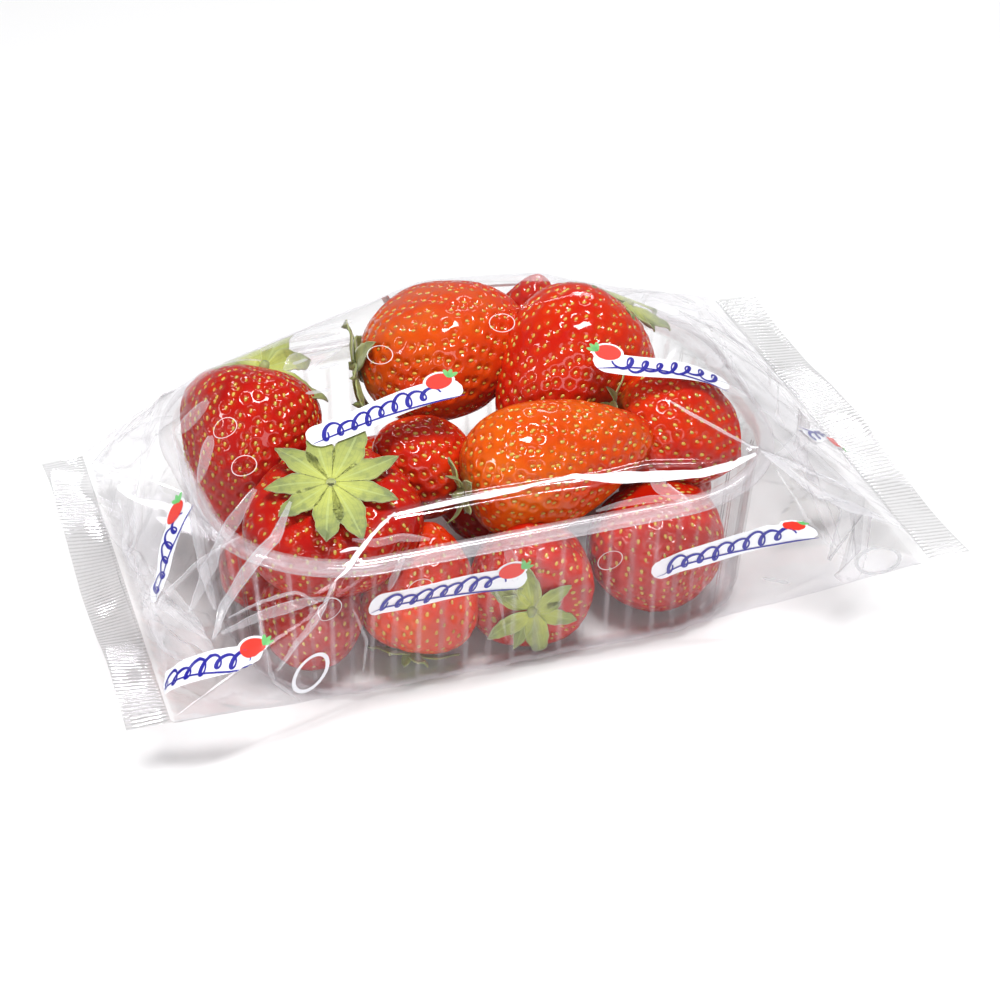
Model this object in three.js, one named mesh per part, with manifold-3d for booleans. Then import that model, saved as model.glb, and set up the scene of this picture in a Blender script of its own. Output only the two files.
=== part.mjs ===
// A punnet of strawberries in a clear wrap: a ribbed tray of clear plastic, heaped with berries,
// inside a tube of film that is drawn over them and crimped flat at both ends.
// Millimetres, +Z up, X along the tray. The origin is under the middle of the tray,
// on the flat of the film that the pack rests on.
import * as THREE from 'three';
import { ConvexGeometry } from 'three/addons/geometries/ConvexGeometry.js';
import { mergeVertices } from 'three/addons/utils/BufferGeometryUtils.js';
import Module from 'manifold-3d';

// Driving dimensions of the tray
const TRAY_LENGTH = 143;
const TRAY_WIDTH = 100;
const TRAY_HEIGHT = 43;
const CORNER = 35;
const TRAY_WALL = 0.8;
const BASE_INSET = 8.5;
const FLANGE = 4;
const LIP_DROP = 3;
const BASE_ROUND = 3;
const RIBS = 36;
const RIB_DEPTH = 0.8;

// Driving dimensions of the film
const FILM = 0.8;
const CLEAR = 0.3;
const CRIMP = 10;
const CRIMP_THICK = 1.2;
const VENT_RADIUS = 3.2;
const WING_START = TRAY_LENGTH / 2 - CORNER;

// Driving dimensions of the berries
const CALYX_END = 0.45;
const LEAF_THICK = 0.9;
const LEAF_ROOT = 3.5;
const BERRY_SIDES = 10;
const BERRY_RINGS = 6;

const TRAY_FLOOR = FILM + CLEAR;
const RIM_TOP = TRAY_FLOOR + TRAY_HEIGHT;
const POINTS_PER_RIB = 4;
const RING = RIBS * POINTS_PER_RIB;

// Each berry: the middle of its body, the way its tip points, its length and width, how near the
// tip it is widest (a larger number is nearer), how blunt it is (a smaller number is blunter), the
// shift of its tip to one side, and its calyx: how many leaves it has and how long they are.
const BERRIES = [
  { at: [-50, 17, 39], tip: [-0.35, -0.45, -0.75], long: 42, wide: 35, leaves: 6, leaf: 14 },
  { at: [-40, -19, 34.5], tip: [0.1, 0.25, -1], long: 34, wide: 41, leaves: 9, leaf: 17 },
  { at: [2, 32, 45.5], tip: [0.97, -0.25, 0.05], long: 40, wide: 32, widest: 0.9, blunt: 0.5,
    lean: [0, 1, 5], leaves: 6, leaf: 14 },
  { at: [33, 16, 44.5], tip: [-0.66, -0.46, -0.42], long: 44, wide: 36, leaves: 7, leaf: 15 },
  { at: [16, -16, 40], tip: [0.97, 0, 0.14], long: 48, wide: 30, blunt: 0.55, leaves: 5, leaf: 9 },
  { at: [51, -7, 37], tip: [0.8, -0.35, -0.3], long: 34, wide: 30, widest: 0.7, leaves: 5, leaf: 10 },
  { at: [-12, -1, 36.5], tip: [-0.55, -0.1, 0.5], long: 27, wide: 24, widest: 0.7, leaves: 5, leaf: 9 },
  { at: [30, 39, 46], tip: [0.2, 0.1, 0.9], long: 22, wide: 18 },
  { at: [-21, -28, 18.5], tip: [0.25, 0.25, 0.9], long: 31, wide: 27, blunt: 0.55, leaves: 6, leaf: 12 },
  { at: [8, -25.5, 17.5], tip: [0.1, 0.95, 0.05], long: 32, wide: 31, widest: 0.45, blunt: 0.45,
    leaves: 6, leaf: 13 },
  { at: [40, -25, 17.5], tip: [0.1, -0.15, -0.95], long: 31, wide: 33, widest: 0.8, blunt: 0.48 },
  { at: [-47, -24, 15], tip: [-0.2, -0.9, -0.35], long: 26, wide: 24, widest: 0.8, blunt: 0.48 },
  { at: [54, 5, 15], tip: [0.3, 0.8, -0.1], long: 28, wide: 22 },
  { at: [-50, 7, 14.5], tip: [0.3, 0.9, 0.1], long: 32, wide: 22 },
  { at: [-22, 20, 17], tip: [-0.9, 0.3, -0.1], long: 38, wide: 27, leaves: 4, leaf: 9 },
  { at: [12, 16, 16], tip: [0.7, 0.5, 0], long: 33, wide: 26 },
  { at: [38, 27, 16], tip: [0.9, -0.3, 0.1], long: 32, wide: 25, leaves: 4, leaf: 9 },
];

// The flattened ends of the film tube: the front and back corners of each crimped edge
const CRIMPS = [
  { front: [-103, -61, 19], back: [-90, 65, 13], outward: -1, wave: 2.2 },
  { front: [107, -61, 23], back: [101, 67, 24], outward: 1, wave: -1.4 },
];

// Vent holes punched in the film over the berries
const VENTS = [[-59, -5], [-17, 17], [26, 1]];

const wasm = await Module();
wasm.setup();

function toSolid(geometry) {
  geometry.deleteAttribute('normal');
  geometry.deleteAttribute('uv');
  const merged = mergeVertices(geometry, 1e-4);
  return new wasm.Manifold(new wasm.Mesh({
    numProp: 3,
    vertProperties: Float32Array.from(merged.attributes.position.array),
    triVerts: Uint32Array.from(merged.index.array),
  }));
}

function toMesh(name, solid, material) {
  const result = solid.getMesh();
  const geometry = new THREE.BufferGeometry();
  geometry.setAttribute('position', new THREE.BufferAttribute(result.vertProperties, 3));
  geometry.setIndex(new THREE.BufferAttribute(result.triVerts, 1));
  geometry.computeVertexNormals();
  const mesh = new THREE.Mesh(geometry, material);
  mesh.name = name;
  return mesh;
}

// Moves every vertex of a geometry to where the rule puts it
function warp(geometry, rule) {
  const place = geometry.attributes.position;
  const point = new THREE.Vector3();
  for (let k = 0; k < place.count; k++) {
    point.fromBufferAttribute(place, k);
    rule(point, k);
    place.setXYZ(k, point.x, point.y, point.z);
  }
  return geometry;
}

function join(solids) {
  return solids.reduce((whole, piece) => whole.add(piece));
}

// The rim's rounded rectangle, anticlockwise from above
function rimPath() {
  const x = TRAY_LENGTH / 2 - CORNER;
  const y = TRAY_WIDTH / 2 - CORNER;
  const path = new THREE.Path();
  path.moveTo(x + CORNER, -y);
  path.lineTo(x + CORNER, y);
  path.absarc(x, y, CORNER, 0, Math.PI / 2);
  path.lineTo(-x, y + CORNER);
  path.absarc(-x, y, CORNER, Math.PI / 2, Math.PI);
  path.lineTo(-x - CORNER, -y);
  path.absarc(-x, -y, CORNER, Math.PI, 1.5 * Math.PI);
  path.lineTo(x, -y - CORNER);
  path.absarc(x, -y, CORNER, 1.5 * Math.PI, 2 * Math.PI);
  return path;
}

const RIM = rimPath();

// A point inside the rim's outline, a share of the way round it
function insetPoint(share, inset, z) {
  const point = RIM.getPoint(share);
  const along = RIM.getTangent(share);
  return new THREE.Vector3(point.x - along.y * inset, point.y + along.x * inset, z);
}

function insetRing(count, inset, z) {
  return Array.from({ length: count }, (_, i) => insetPoint(i / count, inset, z));
}

// The tray's section from the middle of its underside, out, up, over the rim and back inside:
// inset from the rim's outline, height, and the share of the ribs' depth that it takes.
function traySection() {
  const low = TRAY_FLOOR;
  const inner = BASE_INSET + TRAY_WALL;
  const neck = FLANGE - TRAY_WALL;
  return [
    [null, low, 0],
    [BASE_INSET + BASE_ROUND, low, 0],
    [BASE_INSET + BASE_ROUND / 4, low + BASE_ROUND / 4, 0.5],
    [BASE_INSET, low + BASE_ROUND, 1],
    [neck + 0.7, RIM_TOP - 6, 1],
    [neck, RIM_TOP - LIP_DROP - 1, 0],
    [neck, RIM_TOP - TRAY_WALL, 0],
    [1.4, RIM_TOP - TRAY_WALL, 0],
    [TRAY_WALL, RIM_TOP - LIP_DROP, 0],
    [0, RIM_TOP - LIP_DROP, 0],
    [0.5, RIM_TOP - 0.6, 0],
    [1.4, RIM_TOP, 0],
    [FLANGE, RIM_TOP, 0],
    [FLANGE + 0.3, RIM_TOP - LIP_DROP - 1, 0],
    [FLANGE + 0.7, RIM_TOP - 6, 1],
    [inner, low + BASE_ROUND, 1],
    [inner + BASE_ROUND, low + TRAY_WALL, 0],
    [null, low + TRAY_WALL, 0],
  ];
}

function traySolid() {
  const section = traySection();
  const turned = section.map(([inset, z]) => new THREE.Vector2(inset === null ? 0 : CORNER - inset, z));
  const lathe = new THREE.LatheGeometry(turned, RING);
  return toSolid(warp(lathe, (point, k) => {
    const step = Math.floor(k / section.length) % RING;
    const [inset, z, ribbed] = section[k % section.length];
    if (inset === null) {
      point.set(0, 0, z);
      return;
    }
    const sunk = step % POINTS_PER_RIB < POINTS_PER_RIB / 2 ? 0 : RIB_DEPTH * ribbed;
    point.copy(insetPoint(step / RING, inset + sunk, z));
  }));
}

// The space that the tray leaves for the berries, clear of its ribs, floor and rim
function traySpace() {
  const slack = TRAY_WALL + RIB_DEPTH + CLEAR;
  const floor = TRAY_FLOOR + TRAY_WALL + CLEAR;
  return new ConvexGeometry([
    ...insetRing(24, BASE_INSET + BASE_ROUND + slack, floor),
    ...insetRing(24, BASE_INSET + slack, floor + BASE_ROUND),
    ...insetRing(24, FLANGE + RIB_DEPTH + CLEAR, RIM_TOP + CLEAR),
    ...insetRing(24, 1, RIM_TOP + 25),
  ]);
}

// How far along its length each ring of a berry lies, closer together at its ends
function ringShare(j) {
  return (1 - Math.cos((Math.PI * j) / BERRY_RINGS)) / 2;
}

function berryRadius({ wide, widest = 0.62, blunt = 0.6 }, j) {
  if (j % BERRY_RINGS === 0) return 0;
  return (wide / 2) * Math.sin(Math.PI * ringShare(j) ** widest) ** blunt;
}

// A berry stands with its calyx at the bottom and its tip at the top until it is turned
function berryGeometry(berry, turn, at) {
  const { long } = berry;
  const section = [];
  for (let j = 0; j <= BERRY_RINGS; j++) {
    section.push(new THREE.Vector2(berryRadius(berry, j), (ringShare(j) - CALYX_END) * long));
  }
  const body = new THREE.LatheGeometry(section, BERRY_SIDES);
  const tipShift = new THREE.Vector3(...(berry.lean ?? [0, 0, 0]));
  return warp(body, (point) => {
    const t = point.y / long + CALYX_END;
    point.applyQuaternion(turn).add(at).addScaledVector(tipShift, t * t);
  });
}

// A thin pointed leaf that lies on the berry's shoulder and lifts at its end
function leafGeometry(berry, around, lift, turn, at) {
  const { long, leaf } = berry;
  const slope = (ringShare(1) * long) / berryRadius(berry, 1);
  const blade = new THREE.BoxGeometry(1, 1, 1, 3, 1, 1);
  const axis = new THREE.Vector3(0, 1, 0);
  return warp(blade, (point) => {
    const s = point.x + 0.5;
    const radius = LEAF_ROOT + (leaf - LEAF_ROOT) * s;
    const width = leaf * 0.36 * Math.sin(Math.PI * (0.12 + 0.8 * s) ** 0.8);
    const droop = slope * radius - lift * s ** 4;
    const side = -point.y * width;
    const up = point.z * LEAF_THICK;
    point.set(radius, up + droop - CALYX_END * long, side);
    point.applyAxisAngle(axis, around).applyQuaternion(turn).add(at);
  });
}

function stemGeometry({ long }, turn, at) {
  const stem = new THREE.CylinderGeometry(1.2, 1, 5, 6);
  return warp(stem, (point) => {
    point.y -= CALYX_END * long + 1;
    point.applyQuaternion(turn).add(at);
  });
}

// A berry's turn from standing on its calyx to where its tip points
function berryTurn({ tip }) {
  const way = new THREE.Vector3(...tip).normalize();
  return new THREE.Quaternion().setFromUnitVectors(new THREE.Vector3(0, 1, 0), way);
}

function bodySolid(berry) {
  return toSolid(berryGeometry(berry, berryTurn(berry), new THREE.Vector3(...berry.at)));
}

function calyxSolids(berry) {
  if (!berry.leaves) return [];
  const at = new THREE.Vector3(...berry.at);
  const turn = berryTurn(berry);
  const pieces = [toSolid(stemGeometry(berry, turn, at))];
  for (let i = 0; i < berry.leaves; i++) {
    const around = (2 * Math.PI * (i + 0.12 * Math.sin(5 * i))) / berry.leaves;
    const lift = 2 + 1.5 * Math.cos(3 * i);
    pieces.push(toSolid(leafGeometry(berry, around, lift, turn, at)));
  }
  return pieces;
}

// The bodies of the berries, each pressed flat where it meets the tray
function bodiesSolid() {
  return join(BERRIES.map(bodySolid)).intersect(toSolid(traySpace()));
}

// The heap: bodies and calyxes fused to a core that runs through their middles
function heapSolid(bodies, held) {
  const middles = BERRIES.map(({ at }) => new THREE.Vector3(...at));
  const core = toSolid(new ConvexGeometry(middles));
  const calyxes = join(BERRIES.flatMap(calyxSolids)).intersect(toSolid(traySpace()));
  return join([core, bodies, calyxes.intersect(toSolid(new ConvexGeometry(held)))]);
}

// The points of a solid, as three.js vectors
function pointsOf(solid) {
  const { vertProperties } = solid.getMesh();
  const points = [];
  for (let k = 0; k < vertProperties.length; k += 3) {
    points.push(new THREE.Vector3().fromArray(vertProperties, k));
  }
  return points;
}

// A convex skin that stands off its points by the same distance all round
function skinOver(points, distance) {
  const ways = [];
  for (const x of [-1, 0, 1]) {
    for (const y of [-1, 0, 1]) {
      for (const z of [-1, 0, 1]) {
        if (Math.abs(x) + Math.abs(y) + Math.abs(z) !== 2) ways.push(new THREE.Vector3(x, y, z));
      }
    }
  }
  const offsets = ways.filter((way) => way.length() > 0).map((way) => way.setLength(distance));
  const grown = points.flatMap((point) => offsets.map((offset) => point.clone().add(offset)));
  return toSolid(new ConvexGeometry(grown));
}

// Where the film tube closes: the inner edge of a crimp
function crimpRoot({ front, back, outward }, share) {
  const point = new THREE.Vector3(...front).lerp(new THREE.Vector3(...back), share);
  point.x -= outward * CRIMP;
  return point;
}

// A crimp is a thin band whose outer edge waves a little
function crimpSolid(crimp) {
  const band = new THREE.BoxGeometry(1, 1, 1, 3, 24, 1);
  return toSolid(warp(band, (point) => {
    const outwards = point.x + 0.5;
    const share = point.y + 0.5;
    const thick = point.z * CRIMP_THICK;
    const root = crimpRoot(crimp, crimp.outward > 0 ? share : 1 - share);
    const reach = (outwards * (CRIMP + 1) - 1) * crimp.outward;
    const wave = outwards * crimp.wave * Math.sin(3 * Math.PI * share);
    point.set(root.x + reach, root.y, root.z + thick + wave);
  }));
}

function ventSolid([x, y]) {
  const punch = new THREE.CylinderGeometry(VENT_RADIUS, VENT_RADIUS, 40, 16);
  punch.rotateX(Math.PI / 2);
  punch.translate(x, y, RIM_TOP + 21);
  return toSolid(punch);
}

// All that the film is drawn over: the tray and the bodies of the berries
function heldPoints(bodies) {
  const tray = traySection().filter(([inset, , ribbed]) => inset !== null && ribbed < 1);
  return [...tray.flatMap(([inset, z]) => insetRing(RING / 2, inset, z)), ...pointsOf(bodies)];
}

// The three stretches of film: round the middle, and from the tray's ends out to each crimp
function filmStretches(held) {
  const wings = CRIMPS.map((crimp) => [
    ...held.filter(({ x }) => x * crimp.outward > WING_START),
    crimpRoot(crimp, 0),
    crimpRoot(crimp, 1),
  ]);
  return [held, ...wings];
}

function filmSolid(held) {
  const stretches = filmStretches(held);
  const outside = stretches.map((points) => skinOver(points, CLEAR + FILM));
  const inside = join(stretches.map((points) => skinOver(points, CLEAR)));
  return join([...outside, ...CRIMPS.map(crimpSolid)]).subtract(inside).subtract(join(VENTS.map(ventSolid)));
}

const trayPlastic = new THREE.MeshStandardMaterial({ color: 0xe6e4ea, roughness: 0.15, metalness: 0 });
const berryFlesh = new THREE.MeshStandardMaterial({ color: 0xc9241a, roughness: 0.3, metalness: 0 });
const clearFilm = new THREE.MeshStandardMaterial({ color: 0xf2f1f5, roughness: 0.1, metalness: 0 });

const bodies = bodiesSolid();
const held = heldPoints(bodies);
const group = new THREE.Group();
group.add(toMesh('punnet', traySolid(), trayPlastic));
group.add(toMesh('strawberries', heapSolid(bodies, held), berryFlesh));
group.add(toMesh('film_wrap', filmSolid(held), clearFilm));

export default group;
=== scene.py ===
# %% [markdown]
# # A punnet of strawberries in a film wrap
# The pack is three things: a clear ribbed tray, a heap of strawberries that stands above its rim,
# and a tube of clear film drawn over both and crimped flat at its two ends.
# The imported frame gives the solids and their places. Everything here is modelled in millimetres,
# in the frame's own axes, and scaled to metres when a piece is finished.

# %% Load the frame
import math
import random

import bmesh
import bpy
import numpy as np
from mathutils import Matrix, Vector, noise
from mathutils.bvhtree import BVHTree
from mathutils.kdtree import KDTree


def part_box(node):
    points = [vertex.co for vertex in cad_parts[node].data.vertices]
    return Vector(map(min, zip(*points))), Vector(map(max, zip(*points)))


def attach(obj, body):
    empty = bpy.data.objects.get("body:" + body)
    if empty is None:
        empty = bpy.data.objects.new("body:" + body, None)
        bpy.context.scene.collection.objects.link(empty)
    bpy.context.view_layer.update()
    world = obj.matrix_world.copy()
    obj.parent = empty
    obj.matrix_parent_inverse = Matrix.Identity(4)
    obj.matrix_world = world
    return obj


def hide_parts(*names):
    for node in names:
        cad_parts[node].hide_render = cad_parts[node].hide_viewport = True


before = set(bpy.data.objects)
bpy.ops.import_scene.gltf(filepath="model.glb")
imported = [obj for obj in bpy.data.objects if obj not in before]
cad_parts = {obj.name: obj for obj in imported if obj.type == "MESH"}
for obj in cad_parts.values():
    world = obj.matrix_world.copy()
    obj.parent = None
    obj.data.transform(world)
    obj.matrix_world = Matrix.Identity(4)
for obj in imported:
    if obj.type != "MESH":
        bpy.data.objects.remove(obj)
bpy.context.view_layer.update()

MM = 0.001

# %% [markdown]
# ## Sizes
# The tray's outline, height and rim come from its solid. The other values are those that the
# solid was made with: the radius of its corners, the lean of its wall and the ribs pressed into it.

# %% Sizes of the tray and the film
TRAY_LOW, TRAY_HIGH = [Vector(corner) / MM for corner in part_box("punnet")]
HALF_LENGTH = TRAY_HIGH.x
HALF_WIDTH = TRAY_HIGH.y
RIM_TOP = TRAY_HIGH.z
TRAY_FLOOR = TRAY_LOW.z
CORNER = 35.0
# how far the foot is set in from the rim's outline, and the rounding of the foot
BASE_INSET = 8.5
BASE_ROUND = 3.0
# the flat rim's width, and how far it rolls down at its edge
FLANGE = 4.0
LIP_DROP = 3.0
RIBS = 36
RIB_DEPTH = 0.8
TRAY_WALL = 0.55
# the crimps' width, and where along the pack the film's two wings begin
CRIMP = 10.0
WING_START = HALF_LENGTH - CORNER
print("tray", tuple(round(v, 1) for v in TRAY_HIGH - TRAY_LOW), "rim at", round(RIM_TOP, 1))

# %% [markdown]
# ## Camera
# The photograph was taken with a long lens, from a third of the way up and a little to the left.
# The camera is set first, because creases, vents and print are placed by the pixel of the
# photograph where they show, which is turned into a ray and dropped on the film.

# %% Camera
AZIMUTH, ELEVATION = math.radians(-19.0), math.radians(33.0)
DISTANCE = 1287.0
PIXELS_PER_MM = 4.105
PHOTO_SIZE = 1000
SENSOR = 36.0
AIM_PIXEL = (466.5, 505.0)
AIM = Vector((0, 0, 21.5))
BACK = Vector((math.sin(AZIMUTH) * math.cos(ELEVATION), -math.cos(AZIMUTH) * math.cos(ELEVATION),
               math.sin(ELEVATION)))
RIGHT = Vector((0, 0, 1)).cross(BACK).normalized()
UP = BACK.cross(RIGHT)
FOCAL_PIXELS = PIXELS_PER_MM * DISTANCE

offset_right = (PHOTO_SIZE / 2 - AIM_PIXEL[0]) / PIXELS_PER_MM
offset_up = (AIM_PIXEL[1] - PHOTO_SIZE / 2) / PIXELS_PER_MM
EYE = AIM + RIGHT * offset_right + UP * offset_up + BACK * DISTANCE

camera = bpy.data.objects.new("camera", bpy.data.cameras.new("camera"))
bpy.context.scene.collection.objects.link(camera)
camera.data.sensor_width = SENSOR
camera.data.lens = FOCAL_PIXELS / PHOTO_SIZE * SENSOR
camera.data.clip_end = 20
camera.matrix_world = Matrix.Translation(EYE * MM) @ Matrix((RIGHT, UP, BACK)).transposed().to_4x4()
bpy.context.scene.camera = camera


def photo_ray(pixel):
    """The direction from the camera through a pixel of the photograph."""
    x = (pixel[0] - PHOTO_SIZE / 2) / FOCAL_PIXELS
    y = (PHOTO_SIZE / 2 - pixel[1]) / FOCAL_PIXELS
    return (RIGHT * x + UP * y - BACK).normalized()


print("lens", round(camera.data.lens, 1), "mm")

# %% [markdown]
# ## Helpers
# A piece is made in a bmesh, in millimetres. `finish` scales it to metres, puts it in the scene
# with smooth faces, and says which body it rides on, which material slot it belongs to and which
# of the frame's solids it stands for.

# %% Helpers for pieces
def finish(bm, name, material, stands_for):
    bmesh.ops.scale(bm, vec=(MM, MM, MM), verts=bm.verts)
    mesh = bpy.data.meshes.new(name)
    bm.to_mesh(mesh)
    bm.free()
    return finish_mesh(mesh, name, material, stands_for)


def finish_mesh(mesh, name, material, stands_for):
    mesh.polygons.foreach_set("use_smooth", [True] * len(mesh.polygons))
    mesh.materials.append(material)
    piece = bpy.data.objects.new(name, mesh)
    bpy.context.scene.collection.objects.link(piece)
    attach(piece, "root")
    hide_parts(stands_for)
    print(name, len(mesh.polygons), "faces")
    return piece


def smoothstep(low, high, value):
    t = min(max((value - low) / (high - low), 0.0), 1.0)
    return t * t * (3 - 2 * t)


def mix(a, b, t):
    return a + (b - a) * t


# %% [markdown]
# Materials are node trees. `Nodes` is a small helper that adds a node, sets its inputs by name
# and links whatever is itself a socket, so that each material below reads like a recipe.

# %% Helper for materials
# a Mix node keeps its sockets for colours behind those for numbers and vectors
MIX_A, MIX_B, MIX_RESULT = 6, 7, 2


class Nodes:
    def __init__(self, name):
        self.material = bpy.data.materials.new(name)
        self.material.use_nodes = True
        self.tree = self.material.node_tree
        self.shader = self.tree.nodes["Principled BSDF"]

    def add(self, kind, settings=None, **inputs):
        node = self.tree.nodes.new(kind)
        for key, value in (settings or {}).items():
            setattr(node, key, value)
        self.fill(node, inputs)
        return node

    def fill(self, node, inputs):
        for key, value in inputs.items():
            self.put(node.inputs[key.replace("_", " ")], value)

    def put(self, socket, value):
        if isinstance(value, bpy.types.NodeSocket):
            self.tree.links.new(value, socket)
        else:
            socket.default_value = value

    def set(self, **inputs):
        self.fill(self.shader, inputs)

    def attribute(self, name):
        return self.add("ShaderNodeAttribute", {"attribute_name": name}).outputs["Fac"]

    def math(self, operation, a, b=0.0, clamp=False):
        node = self.add("ShaderNodeMath", {"operation": operation, "use_clamp": clamp})
        for socket, value in zip(node.inputs, (a, b)):
            self.put(socket, value)
        return node.outputs["Value"]

    def times(self, a, b):
        return self.math("MULTIPLY", a, b)

    def place(self):
        return self.add("ShaderNodeTexCoord").outputs["Object"]

    def noise(self, scale, detail):
        return self.add("ShaderNodeTexNoise", Vector=self.place(), Scale=scale, Detail=detail).outputs["Fac"]

    def slant(self, power, strength):
        """Nothing where a face looks at the eye, rising to the given strength where it turns away."""
        facing = self.add("ShaderNodeLayerWeight", Blend=0.5).outputs["Facing"]
        return self.times(self.math("POWER", facing, power), strength)

    def ramp(self, value, stops):
        node = self.add("ShaderNodeValToRGB", Fac=value)
        elements = node.color_ramp.elements
        while len(elements) < len(stops):
            elements.new(0.5)
        for element, (place, colour) in zip(elements, stops):
            element.position = place
            element.color = (*colour, 1.0)
        return node.outputs["Color"]

    def blend(self, amount, a, b):
        node = self.add("ShaderNodeMix", {"data_type": "RGBA"}, Factor=amount)
        for index, value in ((MIX_A, a), (MIX_B, b)):
            self.put(node.inputs[index], value if isinstance(value, bpy.types.NodeSocket) else (*value, 1.0))
        return node.outputs[MIX_RESULT]

    def bump(self, height, strength, distance):
        node = self.add("ShaderNodeBump", Strength=strength, Distance=distance, Height=height)
        return node.outputs["Normal"]


# %% [markdown]
# ## The berries' bodies
# Every berry is a sphere of small triangles, drawn out along its axis by one formula: `widest`
# moves its shoulder, `blunt` rounds its end, `lean` shifts its tip. The seeds sit on a golden
# angle spiral, one for each equal share of the skin. The skin sinks at each seed and stands up
# halfway between them, which gives the quilted surface that catches the light in thin rings.
# The places and sizes come from the heap's solid, a few of them moved a little to the photograph.
# `star` and `rise` are where a calyx that is seen from the front faces, and how far out it stands.

# %% The list of berries
# share of a berry's length that lies on the calyx's side of its middle
CALYX_END = 0.45
# square millimetres of skin for each seed
SEED_AREA = 8.6
# the crown is this share of the length, and has no seeds within this radius of the stem
CROWN_END = 0.3
SEEDLESS = 4.5

# place of the middle, way of the tip, length, width, how ripe, then the details of the form
BERRIES = [
    dict(at=(-50, 17, 39), tip=(-0.35, -0.45, -0.75), long=42, wide=35, ripe=0.76, leaves=7, leaf=17,
         lift=2.0, star=(0.2, -0.3, 0.9), rise=-0.8, seed_area=7.8),
    dict(at=(-40, -19, 34.5), tip=(0.1, 0.25, -1), long=34, wide=41, ripe=0.76, leaves=9, leaf=18.5,
         lift=3.0, star=(0.05, -0.16, 1.0), rise=2.2, seed_area=10.0),
    dict(at=(3, 32, 44.5), tip=(0.96, -0.25, 0.08), long=42, wide=35, widest=0.9, blunt=0.5,
         lean=(0, 1, 5), ripe=0.34, leaves=6, leaf=14, lift=4, seed_area=10.5),
    dict(at=(32, 16, 43.5), tip=(-0.75, -0.42, -0.36), long=45, wide=38, ripe=0.54, leaves=8, leaf=14,
         lift=2.5, star=(0.5, -0.15, 0.85), rise=3.5, pits=0.75),
    dict(at=(16, -16, 40), tip=(0.97, 0, 0.14), long=48, wide=30, blunt=0.55, ripe=0.30,
         leaves=5, leaf=9),
    dict(at=(51, -7, 37), tip=(0.8, -0.35, -0.3), long=34, wide=30, widest=0.7, ripe=0.52,
         leaves=5, leaf=10),
    dict(at=(-12, -1, 36.5), tip=(-0.55, -0.1, 0.5), long=27, wide=24, widest=0.7, ripe=0.52,
         leaves=5, leaf=9),
    dict(at=(30, 39, 46), tip=(0.2, 0.1, 0.9), long=22, wide=18, ripe=0.55),
    dict(at=(-21, -28, 18.5), tip=(0.25, 0.25, 0.9), long=31, wide=27, blunt=0.55, ripe=0.45,
         leaves=6, leaf=12),
    dict(at=(7, -25.5, 17.5), tip=(0.25, 0.92, 0.1), long=32, wide=31, widest=0.45, blunt=0.45,
         ripe=0.68, leaves=6, leaf=14),
    dict(at=(40, -25, 17.5), tip=(0.1, -0.15, -0.95), long=31, wide=33, widest=0.8, blunt=0.48,
         ripe=0.66),
    dict(at=(-47, -24, 15), tip=(-0.2, -0.9, -0.35), long=26, wide=24, widest=0.8, blunt=0.48,
         ripe=0.85),
    dict(at=(54, 5, 15), tip=(0.3, 0.8, -0.1), long=28, wide=22, ripe=0.8, seed_area=11.0),
    dict(at=(-50, 7, 14.5), tip=(0.3, 0.9, 0.1), long=32, wide=22, ripe=0.8, seed_area=11.0),
    dict(at=(-22, 20, 17), tip=(-0.9, 0.3, -0.1), long=38, wide=27, ripe=0.6, leaves=4, leaf=9,
         seed_area=11.0),
    dict(at=(12, 16, 16), tip=(0.7, 0.5, 0), long=33, wide=26, ripe=0.7, seed_area=11.0),
    dict(at=(38, 27, 16), tip=(0.9, -0.3, 0.1), long=32, wide=25, ripe=0.65, leaves=4, leaf=9,
         seed_area=11.0),
]
print(len(BERRIES), "berries")


# %% The form of one berry
FLOOR_GAP = 0.3
SEED_RANGE = (0.01, 0.992)


def radius_at(berry, t):
    """The berry's radius at a share t of the way from its calyx to its tip."""
    if t <= 0 or t >= 1:
        return 0.0
    along = math.sin(math.pi * t ** berry.get("widest", 0.62))
    return berry["wide"] / 2 * along ** berry.get("blunt", 0.6)


def berry_matrix(berry):
    """Stands a berry, modelled with its tip along +Z, where it lies in the heap."""
    turn = Vector((0, 0, 1)).rotation_difference(Vector(berry["tip"]).normalized())
    return Matrix.Translation(berry["at"]) @ turn.to_matrix().to_4x4()


def berry_point(berry, index, t, around):
    """A point of the smooth skin, uneven as a real berry is, before seeds and pits."""
    radius = radius_at(berry, t)
    way = Vector((math.cos(around), math.sin(around), 0))
    lump = noise.noise(Vector((way.x * 1.3, way.y * 1.3, t * 2.6 + index * 7.1)))
    ridge = 0.022 * math.cos(5 * around + index) * (1 - t)
    oval = 1 + 0.05 * math.cos(2 * around + index * 1.7)
    point = way * radius * oval * (1 + 0.07 * lump + ridge)
    point.z = (t - CALYX_END) * berry["long"]
    return point


def leaned(berry, point, matrix):
    t = point.z / berry["long"] + CALYX_END
    return matrix @ point + Vector(berry.get("lean", (0, 0, 0))) * t * t


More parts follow.
